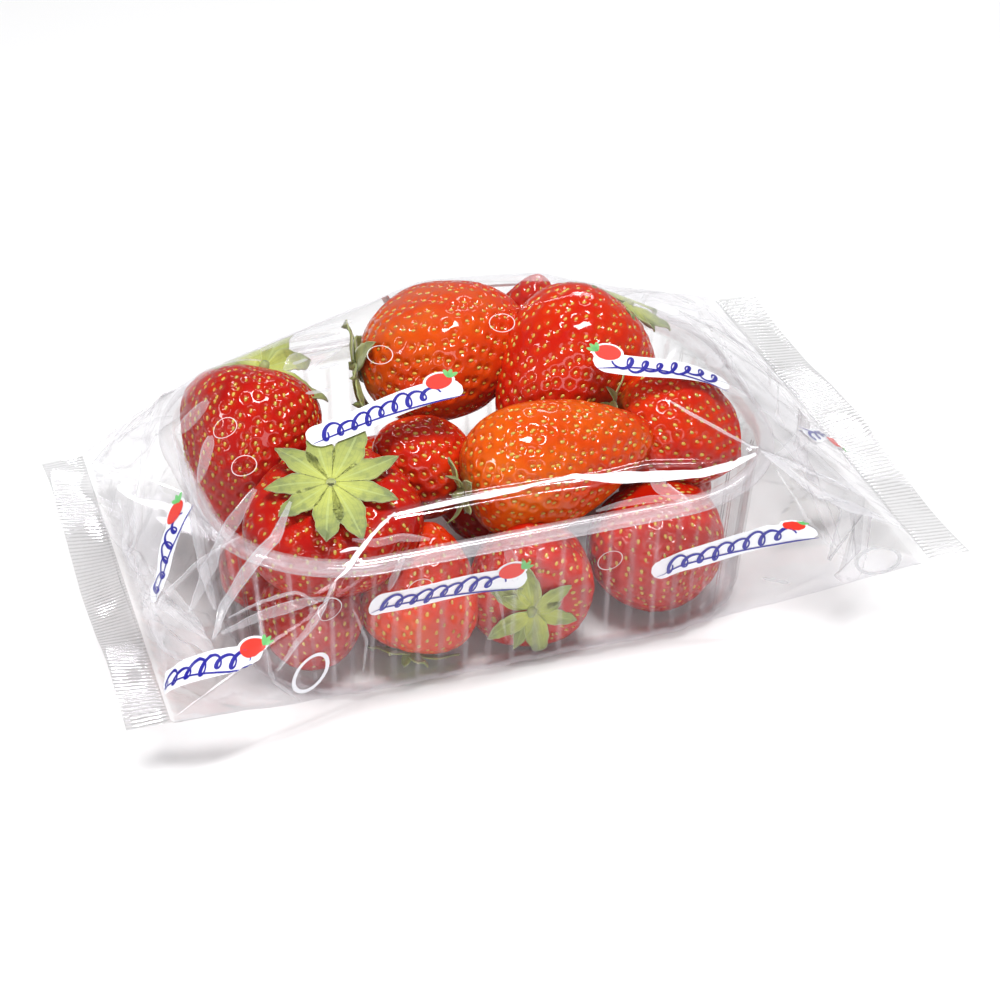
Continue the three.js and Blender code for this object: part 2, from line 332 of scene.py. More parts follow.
def press_in(point):
    """Moves a point in off the tray's wall and up off its floor, where a berry is pressed flat."""
    heights = [TRAY_FLOOR, TRAY_FLOOR + BASE_ROUND, RIM_TOP, RIM_TOP + 25]
    insets = [BASE_INSET + BASE_ROUND, BASE_INSET, FLANGE, 0.5]
    inset = np.interp(point.z, heights, insets) + TRAY_WALL + RIB_DEPTH
    beyond = Vector((abs(point.x) - HALF_LENGTH + CORNER, abs(point.y) - HALF_WIDTH + CORNER, 0))
    round_part = Vector((max(beyond.x, 0), max(beyond.y, 0), 0))
    outside = round_part.length + min(max(beyond.x, beyond.y), 0) - CORNER + inset
    moved = point.copy()
    if outside > 0 and round_part.length > 0:
        way = Vector((math.copysign(round_part.x, point.x), math.copysign(round_part.y, point.y), 0))
        moved -= way.normalized() * outside
    moved.z = max(moved.z, TRAY_FLOOR + TRAY_WALL + FLOOR_GAP)
    return moved


def seed_spots(berry, index):
    """Shares along the berry and turns round it, one spot for each equal patch of skin."""
    steps = 200
    sums = [0.0]
    for i in range(steps):
        t, t_next = i / steps, (i + 1) / steps
        r, r_next = radius_at(berry, t), radius_at(berry, t_next)
        slant = math.hypot((t_next - t) * berry["long"], r_next - r)
        sums.append(sums[-1] + math.pi * (r + r_next) * slant)
    count = int(sums[-1] / berry.get("seed_area", SEED_AREA))
    shares = np.interp((np.arange(count) + 0.5) / count * sums[-1], sums, np.arange(steps + 1) / steps)
    golden = math.pi * (3 - math.sqrt(5))
    draw = random.Random(100 + index)
    low, high = SEED_RANGE
    spots = []
    for i, t in enumerate(shares):
        under_leaves = "leaves" in berry and t <= CROWN_END and radius_at(berry, t) <= SEEDLESS
        if not under_leaves:
            spots.append((min(max(t + draw.gauss(0, 0.006), low), high), i * golden + draw.gauss(0, 0.05)))
    return spots


# %% [markdown]
# The body starts as an icosphere, because its triangles are even all over and its poles need
# no care. Five divisions give five thousand triangles; cutting each edge again brings them to
# half a millimetre on the large ones, fine enough for the pits. Three values are stored on the
# vertices for the material: how ripe the flesh is, how deep in a pit the point lies, and how close
# to the stem. Round each pit the skin stands up in a smooth rim, which the light draws as a thin C.

# %% Make the bodies
PIT_REACH = 1.75
PIT_DEPTH = 0.78
# the share of that depth which lies below the smooth skin, and how round the rim between pits is
PIT_SUNK = 0.7
RIM_POWER = 1.3
# the skin is bare and smooth up to the first radius from the stem, and pitted from the second
BARE_RADII = (2.5, 7.5)


def berry_body(berry, index, cuts):
    bm = bmesh.new()
    bmesh.ops.create_icosphere(bm, subdivisions=5, radius=1.0)
    bmesh.ops.subdivide_edges(bm, edges=bm.edges, cuts=cuts, use_grid_fill=True)
    spots = [(t, around, berry_point(berry, index, t, around)) for t, around in seed_spots(berry, index)]
    tree = KDTree(len(spots))
    for i, (_, _, point) in enumerate(spots):
        tree.insert(point, i)
    tree.balance()
    ripe = bm.verts.layers.float.new("ripe")
    pit = bm.verts.layers.float.new("pit")
    crown = bm.verts.layers.float.new("crown")
    matrix = berry_matrix(berry)
    for vert in bm.verts:
        on_ball = vert.co.normalized()
        t = (1 + on_ball.z) / 2
        around = math.atan2(on_ball.y, on_ball.x)
        point = berry_point(berry, index, t, around)
        reach = tree.find(point)[2]
        rise = min(reach / PIT_REACH, 1.0)
        outward = Vector((on_ball.x, on_ball.y, on_ball.z * 0.6)).normalized()
        near_stem = 1 - smoothstep(*BARE_RADII, math.hypot(point.x, point.y))
        bare = near_stem if "leaves" in berry and t < CROWN_END else 0.0
        depth = PIT_DEPTH * berry.get("pits", 1.0) * (1 - bare)
        point += outward * depth * (math.sin(math.pi / 2 * rise) ** RIM_POWER - PIT_SUNK)
        tone = noise.noise(Vector((on_ball.x, on_ball.y, on_ball.z + index * 3.3)) * 1.6)
        vert[ripe] = berry["ripe"] + 0.14 * (t - CALYX_END) + 0.12 * tone
        vert[pit] = 1 - rise
        vert[crown] = bare
        vert.co = press_in(leaned(berry, point, matrix))
    return bm, spots


# the large ones on top get the finest skin, the small and hidden ones the coarsest
CUTS = [3, 3, 3, 3, 3, 2, 2, 1, 2, 2, 2, 1, 1, 1, 1, 1, 1]
bodies = [berry_body(berry, index, cuts) for index, (berry, cuts) in enumerate(zip(BERRIES, CUTS))]
print(sum(len(bm.faces) for bm, _ in bodies), "faces,", sum(len(spots) for _, spots in bodies), "seeds")

# %% [markdown]
# ## The film's outer form
# Tight film spans its supports with straight sheets, so it is close to the convex hull of what
# it holds. The middle is the hull of tray and berries. Each wing is the hull of the tray's end
# and the line where the tube is flattened. The wings spread wider than the tray, which leaves
# the tucked waist along its sides.

# %% Hulls under the film
FILM_GAP = 0.45
CRIMPS = [
    dict(front=Vector((-103, -61, 19)), back=Vector((-90, 65, 13)), outward=-1, wave=2.2),
    dict(front=Vector((107, -61, 23)), back=Vector((101, 67, 24)), outward=1, wave=-1.4),
]


def rim_point(share, inset, z):
    """A point inside the rim's rounded outline, a share of the way round it."""
    flat_x, flat_y = HALF_LENGTH - CORNER, HALF_WIDTH - CORNER
    bend = CORNER * math.pi / 2
    walk = share % 1.0 * (4 * flat_x + 4 * flat_y + 4 * bend)
    sides = [((1, -1), (0, 2 * flat_y), 0), ((1, 1), (-2 * flat_x, 0), 90),
             ((-1, 1), (0, -2 * flat_y), 180), ((-1, -1), (2 * flat_x, 0), 270)]
    for (sign_x, sign_y), (run_x, run_y), angle in sides:
        side = math.hypot(run_x, run_y)
        out = Vector((math.cos(math.radians(angle)), math.sin(math.radians(angle)), 0))
        start = Vector((sign_x * flat_x, sign_y * flat_y, z))
        if walk <= side:
            run = Vector((run_x, run_y, 0))
            return start + run * (walk / side) + out * (CORNER - inset)
        walk -= side
        if walk <= bend:
            turned = math.radians(angle) + walk / CORNER
            corner = start + Vector((run_x, run_y, 0))
            return corner + Vector((math.cos(turned), math.sin(turned), 0)) * (CORNER - inset)
        walk -= bend
    return rim_point(0.0, inset, z)


def crimp_root(crimp, share):
    point = crimp["front"].lerp(crimp["back"], share)
    point.x -= crimp["outward"] * CRIMP
    return point


def held_points():
    """What the film is drawn over, already standing off by the film's gap."""
    ring = 96
    tray = [(BASE_INSET + BASE_ROUND, TRAY_FLOOR - FILM_GAP), (BASE_INSET, TRAY_FLOOR + BASE_ROUND),
            (0, RIM_TOP - LIP_DROP), (0.4, RIM_TOP - 0.8), (1.6, RIM_TOP + FILM_GAP)]
    points = [rim_point(i / ring, inset - FILM_GAP, z) for inset, z in tray for i in range(ring)]
    for bm, _ in bodies:
        bm.normal_update()
        points += [vert.co + vert.normal * FILM_GAP for vert in list(bm.verts)[::9]]
    return points


def hull_tree(points):
    bm = bmesh.new()
    for point in points:
        bm.verts.new(point)
    bmesh.ops.convex_hull(bm, input=bm.verts)
    tree = BVHTree.FromBMesh(bm)
    bm.free()
    return tree


held = held_points()
wings = [[p for p in held if p.x * crimp["outward"] > WING_START]
         + [crimp_root(crimp, 0), crimp_root(crimp, 1)] for crimp in CRIMPS]
hulls = [hull_tree(points) for points in (held, *wings)]
print(len(held), "points held by the film")

# %% [markdown]
# The film is laid as a grid over those hulls: along the tube from one crimp to the other, and
# round it. At each station rays run from the middle outwards, and the outline that they find is
# walked in even steps over the top, then back underneath. A grid keeps the mesh clean and lets
# the creases be drawn on it afterwards.

# %% Lay the film's grid
STATIONS = 228
HALF_RING = 158
RAYS = 480
FAR = 300.0


def station_outline(s):
    """The outline of the film across one station, as the rays find it."""
    left, right = CRIMPS
    front = crimp_root(left, 0).lerp(crimp_root(right, 0), s)
    back = crimp_root(left, 1).lerp(crimp_root(right, 1), s)
    slant = (back.x - front.x) / (back.y - front.y)
    inside = smoothstep(0, 0.12, s) * smoothstep(0, 0.12, 1 - s)
    middle = (front + back) / 2
    middle.z = mix(middle.z, 28.0, inside)
    flat = mix(0.04, 0.7, inside)
    outline = []
    for i in range(RAYS):
        angle = 2 * math.pi * i / RAYS
        y, z = math.cos(angle), math.sin(angle) * flat
        way = Vector((slant * y, y, z)).normalized()
        reach = 0.0
        for hull in hulls:
            hit = hull.ray_cast(middle + way * FAR, -way)
            if hit[0]:
                reach = max(reach, FAR - hit[3])
        outline.append(middle + way * reach)
    return np.array(outline)


def even_steps(path, count):
    steps = np.hypot(*(path[1:] - path[:-1])[:, 1:].T)
    walked = np.concatenate([[0], np.cumsum(steps)])
    wanted = np.linspace(0, walked[-1], count + 1)
    return np.stack([np.interp(wanted, walked, path[:, axis]) for axis in range(3)], axis=1)


def station_ring(s):
    """Points from the front fold over the top to the back fold, then underneath to the front."""
    outline = station_outline(s)
    front, back = int(outline[:, 1].argmin()), int(outline[:, 1].argmax())
    rolled = np.roll(outline, -front, axis=0)
    back = (back - front) % RAYS
    under = rolled[:back + 1]
    over = np.concatenate([rolled[back:], rolled[:1]])
    if under[:, 2].mean() > over[:, 2].mean():
        under, over = over[::-1], under[::-1]
    return np.concatenate([even_steps(over[::-1], HALF_RING)[:-1], even_steps(under[::-1], HALF_RING)])


rings = np.array([station_ring(i / STATIONS) for i in range(STATIONS + 1)])
print("film grid", rings.shape, "top", round(float(rings[:, :, 2].max()), 1))

# %% Film mesh
film = bmesh.new()
bmesh.ops.create_grid(film, x_segments=STATIONS, y_segments=2 * HALF_RING, size=1.0)
slack = []
for vert in film.verts:
    station = round((vert.co.x + 1) / 2 * STATIONS)
    step = round((vert.co.y + 1) / 2 * 2 * HALF_RING)
    vert.co = Vector(rings[station, step])
    if 3 < station < STATIONS - 3 and step % HALF_RING > 3 and step % HALF_RING < HALF_RING - 3:
        slack.append(vert)
for _ in range(2):
    bmesh.ops.smooth_vert(film, verts=slack, factor=0.5, use_axis_x=True, use_axis_y=True, use_axis_z=True)
bmesh.ops.remove_doubles(film, verts=film.verts, dist=0.01)
bmesh.ops.recalc_face_normals(film, faces=film.faces)
print("film", len(film.verts), "vertices", sum(not e.is_manifold for e in film.edges), "open edges")

# %% [markdown]
# Real film is never smooth: it is pulled tight along some lines and goes slack beside them.
# Each line below follows a ridge of the photograph by its pixels. Rays from the camera drop it on
# the film, and the vertices near it are raised in a sharp crest. A second set is the first one
# turned half round the pack, so that the far side is as creased as the near one.

# %% Ridge lines on the film
# half width and height in millimetres, how milky the ridge is (partly a painted highlight on its crest),
# pixels of the photograph
RIDGES = [
    (2.6, 1.1, 0.5, [(300, 597), (335, 580), (362, 548), (390, 515), (430, 506), (480, 496), (540, 486),
                     (590, 480), (622, 473), (650, 467), (700, 466), (735, 462), (757, 450)]),
    (3.0, 1.3, 0.4, [(757, 450), (792, 466), (819, 480), (850, 493), (903, 523), (943, 551)]),
    (2.0, 0.7, 0.6, [(757, 450), (787, 472), (815, 501), (850, 507), (878, 518), (943, 554)]),
    (2.0, 0.8, 0.3, [(678, 312), (728, 339), (766, 363), (796, 388), (815, 421), (850, 470), (882, 495),
                     (939, 550)]),
    (1.4, 0.5, 0.5, [(667, 400), (710, 426), (757, 450)]),
    (1.6, 0.5, 0.3, [(730, 323), (754, 316), (770, 350), (791, 377)]),
    (1.8, 0.7, 0.6, [(291, 502), (275, 538), (246, 570), (222, 608), (214, 640)]),
    (1.2, 0.5, 0.4, [(214, 640), (237, 618), (282, 595), (307, 597), (316, 606)]),
    (1.2, 0.4, 0.4, [(214, 640), (262, 622), (330, 600)]),
    (1.4, 0.5, 0.5, [(337, 581), (322, 610), (290, 650), (276, 672)]),
    (2.0, 0.9, 0.5, [(150, 585), (176, 605), (205, 630), (215, 650)]),
    (2.2, 0.9, 0.5, [(145, 607), (165, 640), (190, 665), (215, 655)]),
    (1.8, 0.9, 0.6, [(72, 488), (100, 516), (125, 548), (150, 575)]),
    (1.6, 0.6, 0.4, [(145, 722), (190, 700), (235, 690), (275, 700)]),
    (1.2, 0.5, 0.4, [(165, 702), (195, 722), (215, 725)]),
    (2.4, 0.7, 0.4, [(60, 470), (110, 455), (165, 432), (215, 400), (262, 372)]),
    (1.2, 0.3, 0.2, [(640, 520), (660, 560), (668, 600)]),
]
RIDGE_STEP = 0.6
SMOOTH_TIMES = 6


def on_hulls(pixel):
    """Where a pixel's ray meets the film's outer form."""
    hits = [hull.ray_cast(EYE, photo_ray(pixel)) for hull in hulls]
    near = [hit for hit in hits if hit[0]]
    return min(near, key=lambda hit: hit[3])[0] if near else None


def walk_line(points, step):
    """A smooth line through the points, in even steps."""
    path = np.array([tuple(p) for p in points])
    walked = np.concatenate([[0], np.cumsum(np.linalg.norm(path[1:] - path[:-1], axis=1))])
    wanted = np.linspace(0, walked[-1], max(int(walked[-1] / step), 2))
    line = np.stack([np.interp(wanted, walked, path[:, axis]) for axis in range(3)], axis=1)
    for _ in range(SMOOTH_TIMES):
        line[1:-1] = (line[:-2] + 2 * line[1:-1] + line[2:]) / 4
    return [Vector(p) for p in line]


def half_turned(points):
    """The same points on the far side of the pack."""
    return [Vector((-p.x, -p.y, p.z)) for p in points]


ridge_lines = []
for number, (_, _, _, pixels) in enumerate(RIDGES):
    hits = [point for point in map(on_hulls, pixels) if point]
    if len(hits) > 1:
        line = walk_line(hits, RIDGE_STEP)
        ridge_lines += [(number, line), (number, half_turned(line))]
ridge_tree = KDTree(sum(len(line) for _, line in ridge_lines))
ridge_of = []
for number, line in ridge_lines:
    for i, point in enumerate(line):
        ridge_tree.insert(point, len(ridge_of))
        ridge_of.append((number, math.sin(math.pi * (i + 0.5) / len(line)) ** 0.3))
ridge_tree.balance()
print(len(ridge_lines), "ridges")

# %% [markdown]
# Four more kinds of relief go on the same vertices: slack waves along the tube, pleats that fan
# in from each crimp, soft swells in the wings, and flat facets between the folds there, which are
# the cells of a Voronoi pattern. How milky each place is goes into one attribute, because folded
# film scatters more light; on the ridges it is also a painted highlight. The sharp lines between
# facets go into another, as painted dark lines that stand for the shade and dark reflections in
# those creases. It has a negative value where the film meets a crimp, so that the film is not
# paler there than the crimp is.

# %% Put the relief on the film
RIDGE_REACH = 3.2
PLEAT_LENGTH = 34.0
PLEAT_FINE, PLEAT_BROAD = 0.16, 0.4
FACET_OFFSET = Vector((0.3, 0.7, 0.1))
FACET_LINE = 0.035


def ridges_at(point):
    """How far the ridges near a point raise it, and how milky they make it, which is partly a painted
    highlight on their crests.
    """
    best = {}
    for _, index, distance in ridge_tree.find_range(point, RIDGE_REACH):
        number, strength = ridge_of[index]
        value = max(1 - distance / RIDGES[number][0], 0.0) ** 2 * strength
        best[number] = max(best.get(number, 0), value)
    rise, haze_and_glint = 0.0, 0.0
    for number, value in best.items():
        rise += value * RIDGES[number][1]
        haze_and_glint += value * RIDGES[number][2]
    return rise, haze_and_glint


def pleats(y, reach, seed):
    """Ridges that run in from a crimp: many at its root, fewer further in."""
    fade = max(1 - reach / PLEAT_LENGTH, 0.0)
    fine = abs(noise.noise(Vector((y * 0.3, reach * 0.02, seed))))
    broad = abs(noise.noise(Vector((y * 0.07, reach * 0.012, seed + 9))))
    return fade ** 3 * (1.0 - 2.6 * fine) * PLEAT_FINE + fade ** 1.3 * (1 - 2.4 * broad) * PLEAT_BROAD


def pleats_at(x, y, z):
    """How far the pleats raise a point, how milky they are, and how near a crimp's root it is."""
    rise, haze_and_glint, at_end = 0.0, 0.0, 0.0
    for crimp in CRIMPS:
        share = (y - crimp["front"].y) / (crimp["back"].y - crimp["front"].y)
        root = crimp_root(crimp, share)
        reach = (root.x - x) * crimp["outward"]
        at_end = max(at_end, 1 - smoothstep(0.5, 3.0, reach))
        if reach < PLEAT_LENGTH:
            side = 1 if z > root.z else 2
            fold = pleats(y, max(reach, 0.0), 3.0 * side + crimp["outward"])
            rise += fold * min(reach / 3.0 + 0.1, 1.0)
            haze_and_glint += max(fold, 0) * 0.25
    return rise, haze_and_glint, at_end


film.normal_update()
haze_and_highlight = film.verts.layers.float.new("haze_and_highlight")
shade_line_mask = film.verts.layers.float.new("line")
moves = []
for vert in film.verts:
    x, y, z = vert.co
    rise, haze_and_glint = ridges_at(vert.co)
    pleat_rise, pleat_haze, at_end = pleats_at(x, y, z)
    wing = smoothstep(WING_START, HALF_LENGTH + 8, abs(x))
    waves = noise.noise(Vector((x * 0.028, y * 0.09, z * 0.09)))
    swells = noise.noise(Vector((x * 0.03, y * 0.04, z * 0.04 + 4)))
    clouds = smoothstep(0.0, 0.15, noise.noise(Vector((x * 0.04, y * 0.05, z * 0.05 + 8))))
    nearest = noise.voronoi(Vector((x * 0.045, y * 0.06, z * 0.06)) + FACET_OFFSET)[0]
    to_edge = nearest[1] - nearest[0]
    rise += pleat_rise + 0.25 * waves + wing * (0.3 * swells + 0.9 * min(to_edge, 0.4))
    haze_and_glint += pleat_haze + wing * (0.05 + 0.15 * clouds)
    under = smoothstep(6.0, 1.0, z) if abs(x) < HALF_LENGTH else 0.0
    seen = smoothstep(-0.1, 0.3, noise.noise(vert.co * 0.06))
    vert[haze_and_highlight] = min(haze_and_glint, 1.0)
    # painted shade: dark lines along the facet edges in the wings, taken away at the crimps
    vert[shade_line_mask] = wing * max(1 - to_edge / FACET_LINE, 0) * 0.6 * seen - 1.2 * at_end
    moves.append((vert, vert.normal * rise * (1 - under)))
for vert, move in moves:
    vert.co += move
    vert.co.z = max(vert.co.z, 0.02)
film_tree = BVHTree.FromBMesh(film)
print("relief on", len(moves), "vertices")

# %% [markdown]
# Where the film is folded over itself there are two or three layers of it: straps with straight
# edges and lens-shaped patches, paler than the film round them. The whitest straps, along the
# front ridge, are a painted highlight that shows as solid white lines. Each one is a narrow strip
# that lies on the film, with its two edges a little raised, so that they catch a thin line of light;
# the edges of the less white ones are also painted darker, as painted shade.

# %% Folded straps and patches
# width in millimetres at the middle of the fold, how milky (the whitest are painted highlights), pixels
# along the middle
FOLDS = [
    (3.6, 0.42, [(291, 502), (283, 520), (275, 538), (246, 572), (224, 606), (214, 640)]),
    (1.1, 0.4, [(229, 618), (262, 602), (296, 592), (318, 603)]),
    (2.6, 0.3, [(222, 634), (262, 616), (300, 604), (330, 597)]),
    (2.2, 0.4, [(334, 583), (322, 610), (296, 642), (276, 670)]),
    (5.0, 0.3, [(209, 402), (192, 420), (177, 434)]),
    (5.0, 0.3, [(262, 352), (290, 340), (322, 330), (352, 322)]),
    (9.0, 0.22, [(286, 372), (318, 352), (346, 340)]),
    (2.6, 0.22, [(352, 540), (372, 545), (400, 538), (430, 540)]),
    (2.0, 0.25, [(596, 512), (620, 505), (650, 500), (700, 497)]),
    (4.6, 0.35, [(211, 436), (205, 462), (200, 483)]),
    (2.4, 0.3, [(173, 432), (184, 470), (205, 512), (236, 548)]),
    (4.2, 0.32, [(78, 492), (100, 516), (125, 548), (148, 574)]),
    (11.0, 0.3, [(92, 470), (110, 456), (140, 440), (172, 420)]),
    (3.0, 0.3, [(97, 500), (112, 530), (130, 556), (140, 575)]),
    (2.6, 0.35, [(104, 560), (150, 566), (170, 590), (205, 632)]),
    (2.0, 0.4, [(112, 585), (140, 592), (170, 610), (208, 640)]),
    (3.0, 0.3, [(192, 470), (196, 520), (204, 570), (216, 610)]),
    (1.0, 0.35, [(258, 600), (262, 640), (272, 680), (300, 700)]),
    (0.9, 0.35, [(352, 608), (366, 640), (362, 672), (360, 700)]),
    (0.8, 0.25, [(480, 560), (500, 600), (506, 640)]),
    (1.0, 0.25, [(775, 470), (806, 520), (846, 560), (880, 580)]),
    (1.4, 0.25, [(700, 300), (746, 330), (786, 350), (826, 380)]),
    (2.4, 0.3, [(790, 430), (830, 428), (866, 440)]),
    (6.0, 0.3, [(152, 600), (175, 618), (200, 640), (212, 652)]),
    (5.0, 0.25, [(150, 620), (170, 645), (195, 660), (212, 655)]),
    (6.0, 0.3, [(148, 706), (190, 712), (230, 718), (262, 712)]),
    (2.0, 0.4, [(150, 690), (180, 700), (205, 724)]),
    # these four are the painted highlight along the front ridge
    (2.9, 0.8, [(545, 484), (572, 477), (600, 479), (650, 478), (700, 475), (728, 468), (756, 455)]),
    (1.5, 0.8, [(388, 518), (420, 511), (470, 500), (520, 490), (566, 477)]),
    (1.3, 0.8, [(334, 582), (346, 572), (360, 552), (376, 532), (396, 514)]),
    (1.2, 0.7, [(340, 553), (352, 549), (362, 552)]),
    (1.3, 0.5, [(668, 401), (690, 415), (722, 432), (756, 449)]),
    (3.6, 0.5, [(764, 456), (787, 470), (815, 494), (850, 507), (900, 528), (941, 552)]),
    (1.8, 0.45, [(760, 453), (800, 469), (850, 491), (903, 521), (940, 548)]),
    (2.4, 0.3, [(679, 312), (728, 339), (766, 365), (796, 388), (816, 421)]),
    (2.4, 0.3, [(816, 421), (850, 468), (882, 495), (936, 546)]),
    (4.0, 0.3, [(772, 462), (796, 444), (815, 424)]),
    (4.5, 0.3, [(668, 318), (700, 322), (722, 326)]),
    (1.0, 0.35, [(752, 318), (764, 338), (778, 362), (792, 378)]),
    (4.0, 0.3, [(652, 470), (660, 488), (690, 506)]),
    (2.0, 0.3, [(405, 553), (395, 572), (388, 590)]),
    (3.0, 0.25, [(505, 545), (512, 560), (515, 580)]),
]
# rows of the list above that have no copy on the far side
ONE_SIDED = (5, 6)
FOLD_STEPS, FOLD_ACROSS = 60, 8
FOLD_LIFT, EDGE_LIFT = 0.12, 0.22
# folds from this value on show as solid white lines, which are painted highlights
PAINTED_HIGHLIGHT_WHITE = 0.6


def on_film(pixel):
    """The place and the outward way of the film where a pixel's ray meets it."""
    place, normal, _, _ = film_tree.ray_cast(EYE, photo_ray(pixel))
    if place is None:
        return None
    return place, normal if normal.dot(BACK) > 0 else -normal


def drop_on_film(point, lift):
    place, normal, _, _ = film_tree.find_nearest(point)
    if normal.dot(point - place) < 0:
        normal = -normal
    return place + normal * lift


def lay_fold(bm, wide, white, middle):
    line = walk_line(middle, 0.4)
    made = bmesh.ops.create_grid(bm, x_segments=FOLD_STEPS, y_segments=FOLD_ACROSS, size=1.0)["verts"]
    haze_and_highlight_layer = bm.verts.layers.float["haze_and_highlight"]
    shade_line_layer = bm.verts.layers.float["line"]
    # strips this white turn opaque: a painted highlight
    thickness = 0.75 if white < PAINTED_HIGHLIGHT_WHITE else 1.25
    for vert in made:
        along, across = (vert.co.x + 1) / 2, vert.co.y
        spot = along * (len(line) - 1)
        i = min(int(spot), len(line) - 2)
        point = line[i].lerp(line[i + 1], spot - i)
        way = (line[i + 1] - line[i]).normalized()
        normal = film_tree.find_nearest(point)[1]
        side = normal.cross(way).normalized()
        width = wide / 2 * math.sin(math.pi * (0.03 + 0.94 * along)) ** 0.6
        width *= 1 + 0.25 * noise.noise(point * 0.2)
        edge = abs(across) ** 6
        above = point + side * across * width + normal * 0.5
        vert.co = drop_on_film(above, FOLD_LIFT + EDGE_LIFT * edge)
        vert[haze_and_highlight_layer] = min(white * thickness * (0.8 + 0.2 * edge), 1.0)
        # painted shade: a dark line along the edges of the less white strips
        vert[shade_line_layer] = 0.8 * smoothstep(0.7, 1.0, abs(across)) * (1 - smoothstep(0.4, 0.8, white))


folds = bmesh.new()
for name in ("haze_and_highlight", "line"):
    folds.verts.layers.float.new(name)
for number, (wide, white, pixels) in enumerate(FOLDS):
    middle = [hit[0] for hit in map(on_film, pixels) if hit]
    if len(middle) < 2:
        continue
    lay_fold(folds, wide, white, middle)
    if number not in ONE_SIDED:
        lay_fold(folds, wide, white, half_turned(middle))
bmesh.ops.recalc_face_normals(folds, faces=folds.faces)
print("folds", len(folds.faces), "faces")

# %% [markdown]
# ## The crimps
# The tube is closed by two heated jaws with fine teeth. They leave a flat band with straight
# ridges that run out to the cut edge, a little wavy because the film shrank as it cooled.

# %% Crimp bands
CRIMP_PITCH = 1.45
CRIMP_RELIEF = 0.28
CRIMP_ALONG, CRIMP_ACROSS = 560, 22
# how far a band reaches in under the film that it closes
CRIMP_LAP = 0.6


def crimp_band(crimp):
    bm = bmesh.new()
    haze_and_highlight_layer = bm.verts.layers.float.new("haze_and_highlight")
    shade_line_layer = bm.verts.layers.float.new("line")
    outward = crimp["outward"]
    bmesh.ops.create_grid(bm, x_segments=CRIMP_ACROSS, y_segments=CRIMP_ALONG, size=1.0)
    for vert in bm.verts:
        out, share = (vert.co.x + 1) / 2, (vert.co.y + 1) / 2
        root = crimp_root(crimp, share)
        walked = share * (crimp["back"] - crimp["front"]).length
        wander = 1.2 * noise.noise(Vector((walked * 0.03, out * 0.6, outward)))
        tooth = math.sin(2 * math.pi * (walked + wander * 1.5) / CRIMP_PITCH)
        depth = CRIMP_RELIEF * smoothstep(0.0, 0.2, out) * (1 - 0.8 * smoothstep(0.8, 1.0, out))
        patch = 0.5 + noise.noise(Vector((walked * 0.05, out, 5)))
        wave = out * crimp["wave"] * math.sin(3 * math.pi * share)
        curl = 0.5 * out * noise.noise(Vector((walked * 0.06, 2.0, outward)))
        x = root.x + outward * (out * (CRIMP + CRIMP_LAP) - CRIMP_LAP)
        z = root.z + wave + curl + tooth * depth * min(max(patch, 0.15), 1.0)
        vert.co = Vector((x, root.y, z))
        # painted shade: the band is painted grey, and darker in the grooves between the teeth
        drawn = smoothstep(0.3, 1.0, -tooth) * min(max(0.3 + patch, 0.15), 1.0)
        vert[haze_and_highlight_layer] = 0.10 + 0.1 * abs(wander)
        vert[shade_line_layer] = 0.26 + drawn * 0.55
    bmesh.ops.recalc_face_normals(bm, faces=bm.faces)
    return bm


crimp_bands = [crimp_band(crimp) for crimp in CRIMPS]
print("crimps", [len(bm.faces) for bm in crimp_bands])

# %% [markdown]
# ## The tray
# A punnet like this is blown from one clear sheet. Its section is one line: flat floor, rounded
# foot, leaning wall with pressed ribs, a short step, and a flat rim that rolls over into a lip.
# A grid is rolled up into that form: one way it runs round the rim, the other way down the section.
# Its two ends are merged, the floor is filled, and Solidify gives the sheet its wall.

# %% Tray shell
# inset from the rim's outline, drop below the rim's top, share of the ribs' depth
UPPER_SECTION = [
    (0.0, LIP_DROP, 0), (0.05, 2.2, 0), (0.3, 1.2, 0), (0.6, 0.5, 0), (1.0, 0.12, 0), (1.5, 0, 0),
    (2.6, 0.02, 0), (3.3, 0.05, 0), (3.8, 0.3, 0), (4.05, 0.9, 0), (4.1, 2.4, 0), (4.15, 4.0, 0),
    (4.3, 4.8, 0.2), (4.5, 5.6, 0.7), (4.7, 7.0, 1), (5.3, 12.0, 1), (6.2, 20.0, 1), (7.2, 28.0, 1),
    (8.0, 35.0, 1),
]
# inset from the rim's outline, height above the floor, share of the ribs' depth
LOWER_SECTION = [
    (8.3, 4.6, 1), (8.5, 3.0, 0.9), (8.9, 1.7, 0.7), (9.7, 0.8, 0.4), (10.8, 0.25, 0.1), (12.0, 0.05, 0),
    (14.0, 0, 0), (15.0, 0.5, 0), (17.0, 0.6, 0), (24.0, 0.6, 0), (32.0, 0.6, 0),
]
SECTION = [(inset, RIM_TOP - drop, ribbed) for inset, drop, ribbed in UPPER_SECTION]
SECTION += [(inset, TRAY_FLOOR + up, ribbed) for inset, up, ribbed in LOWER_SECTION]
# rows of the section that are painted paler: a painted highlight line along the lip and the step, and
# painted light on the foot where it lies in shade
LIP_ROWS, FOOT_ROWS = (0, 11), range(21, 26)
LIP_PAINTED_HIGHLIGHT, FOOT_PAINTED_LIGHT = 1.6, 2.0
POINTS_PER_RIB = 20
TRAY_RING = RIBS * POINTS_PER_RIB


def rib_profile(step):
    """How deep the wall is pressed at a step round the tray: half of each pitch is sunk."""
    turn = (step % POINTS_PER_RIB) / POINTS_PER_RIB
    return smoothstep(0.0, 0.07, turn) - smoothstep(0.5, 0.57, turn)


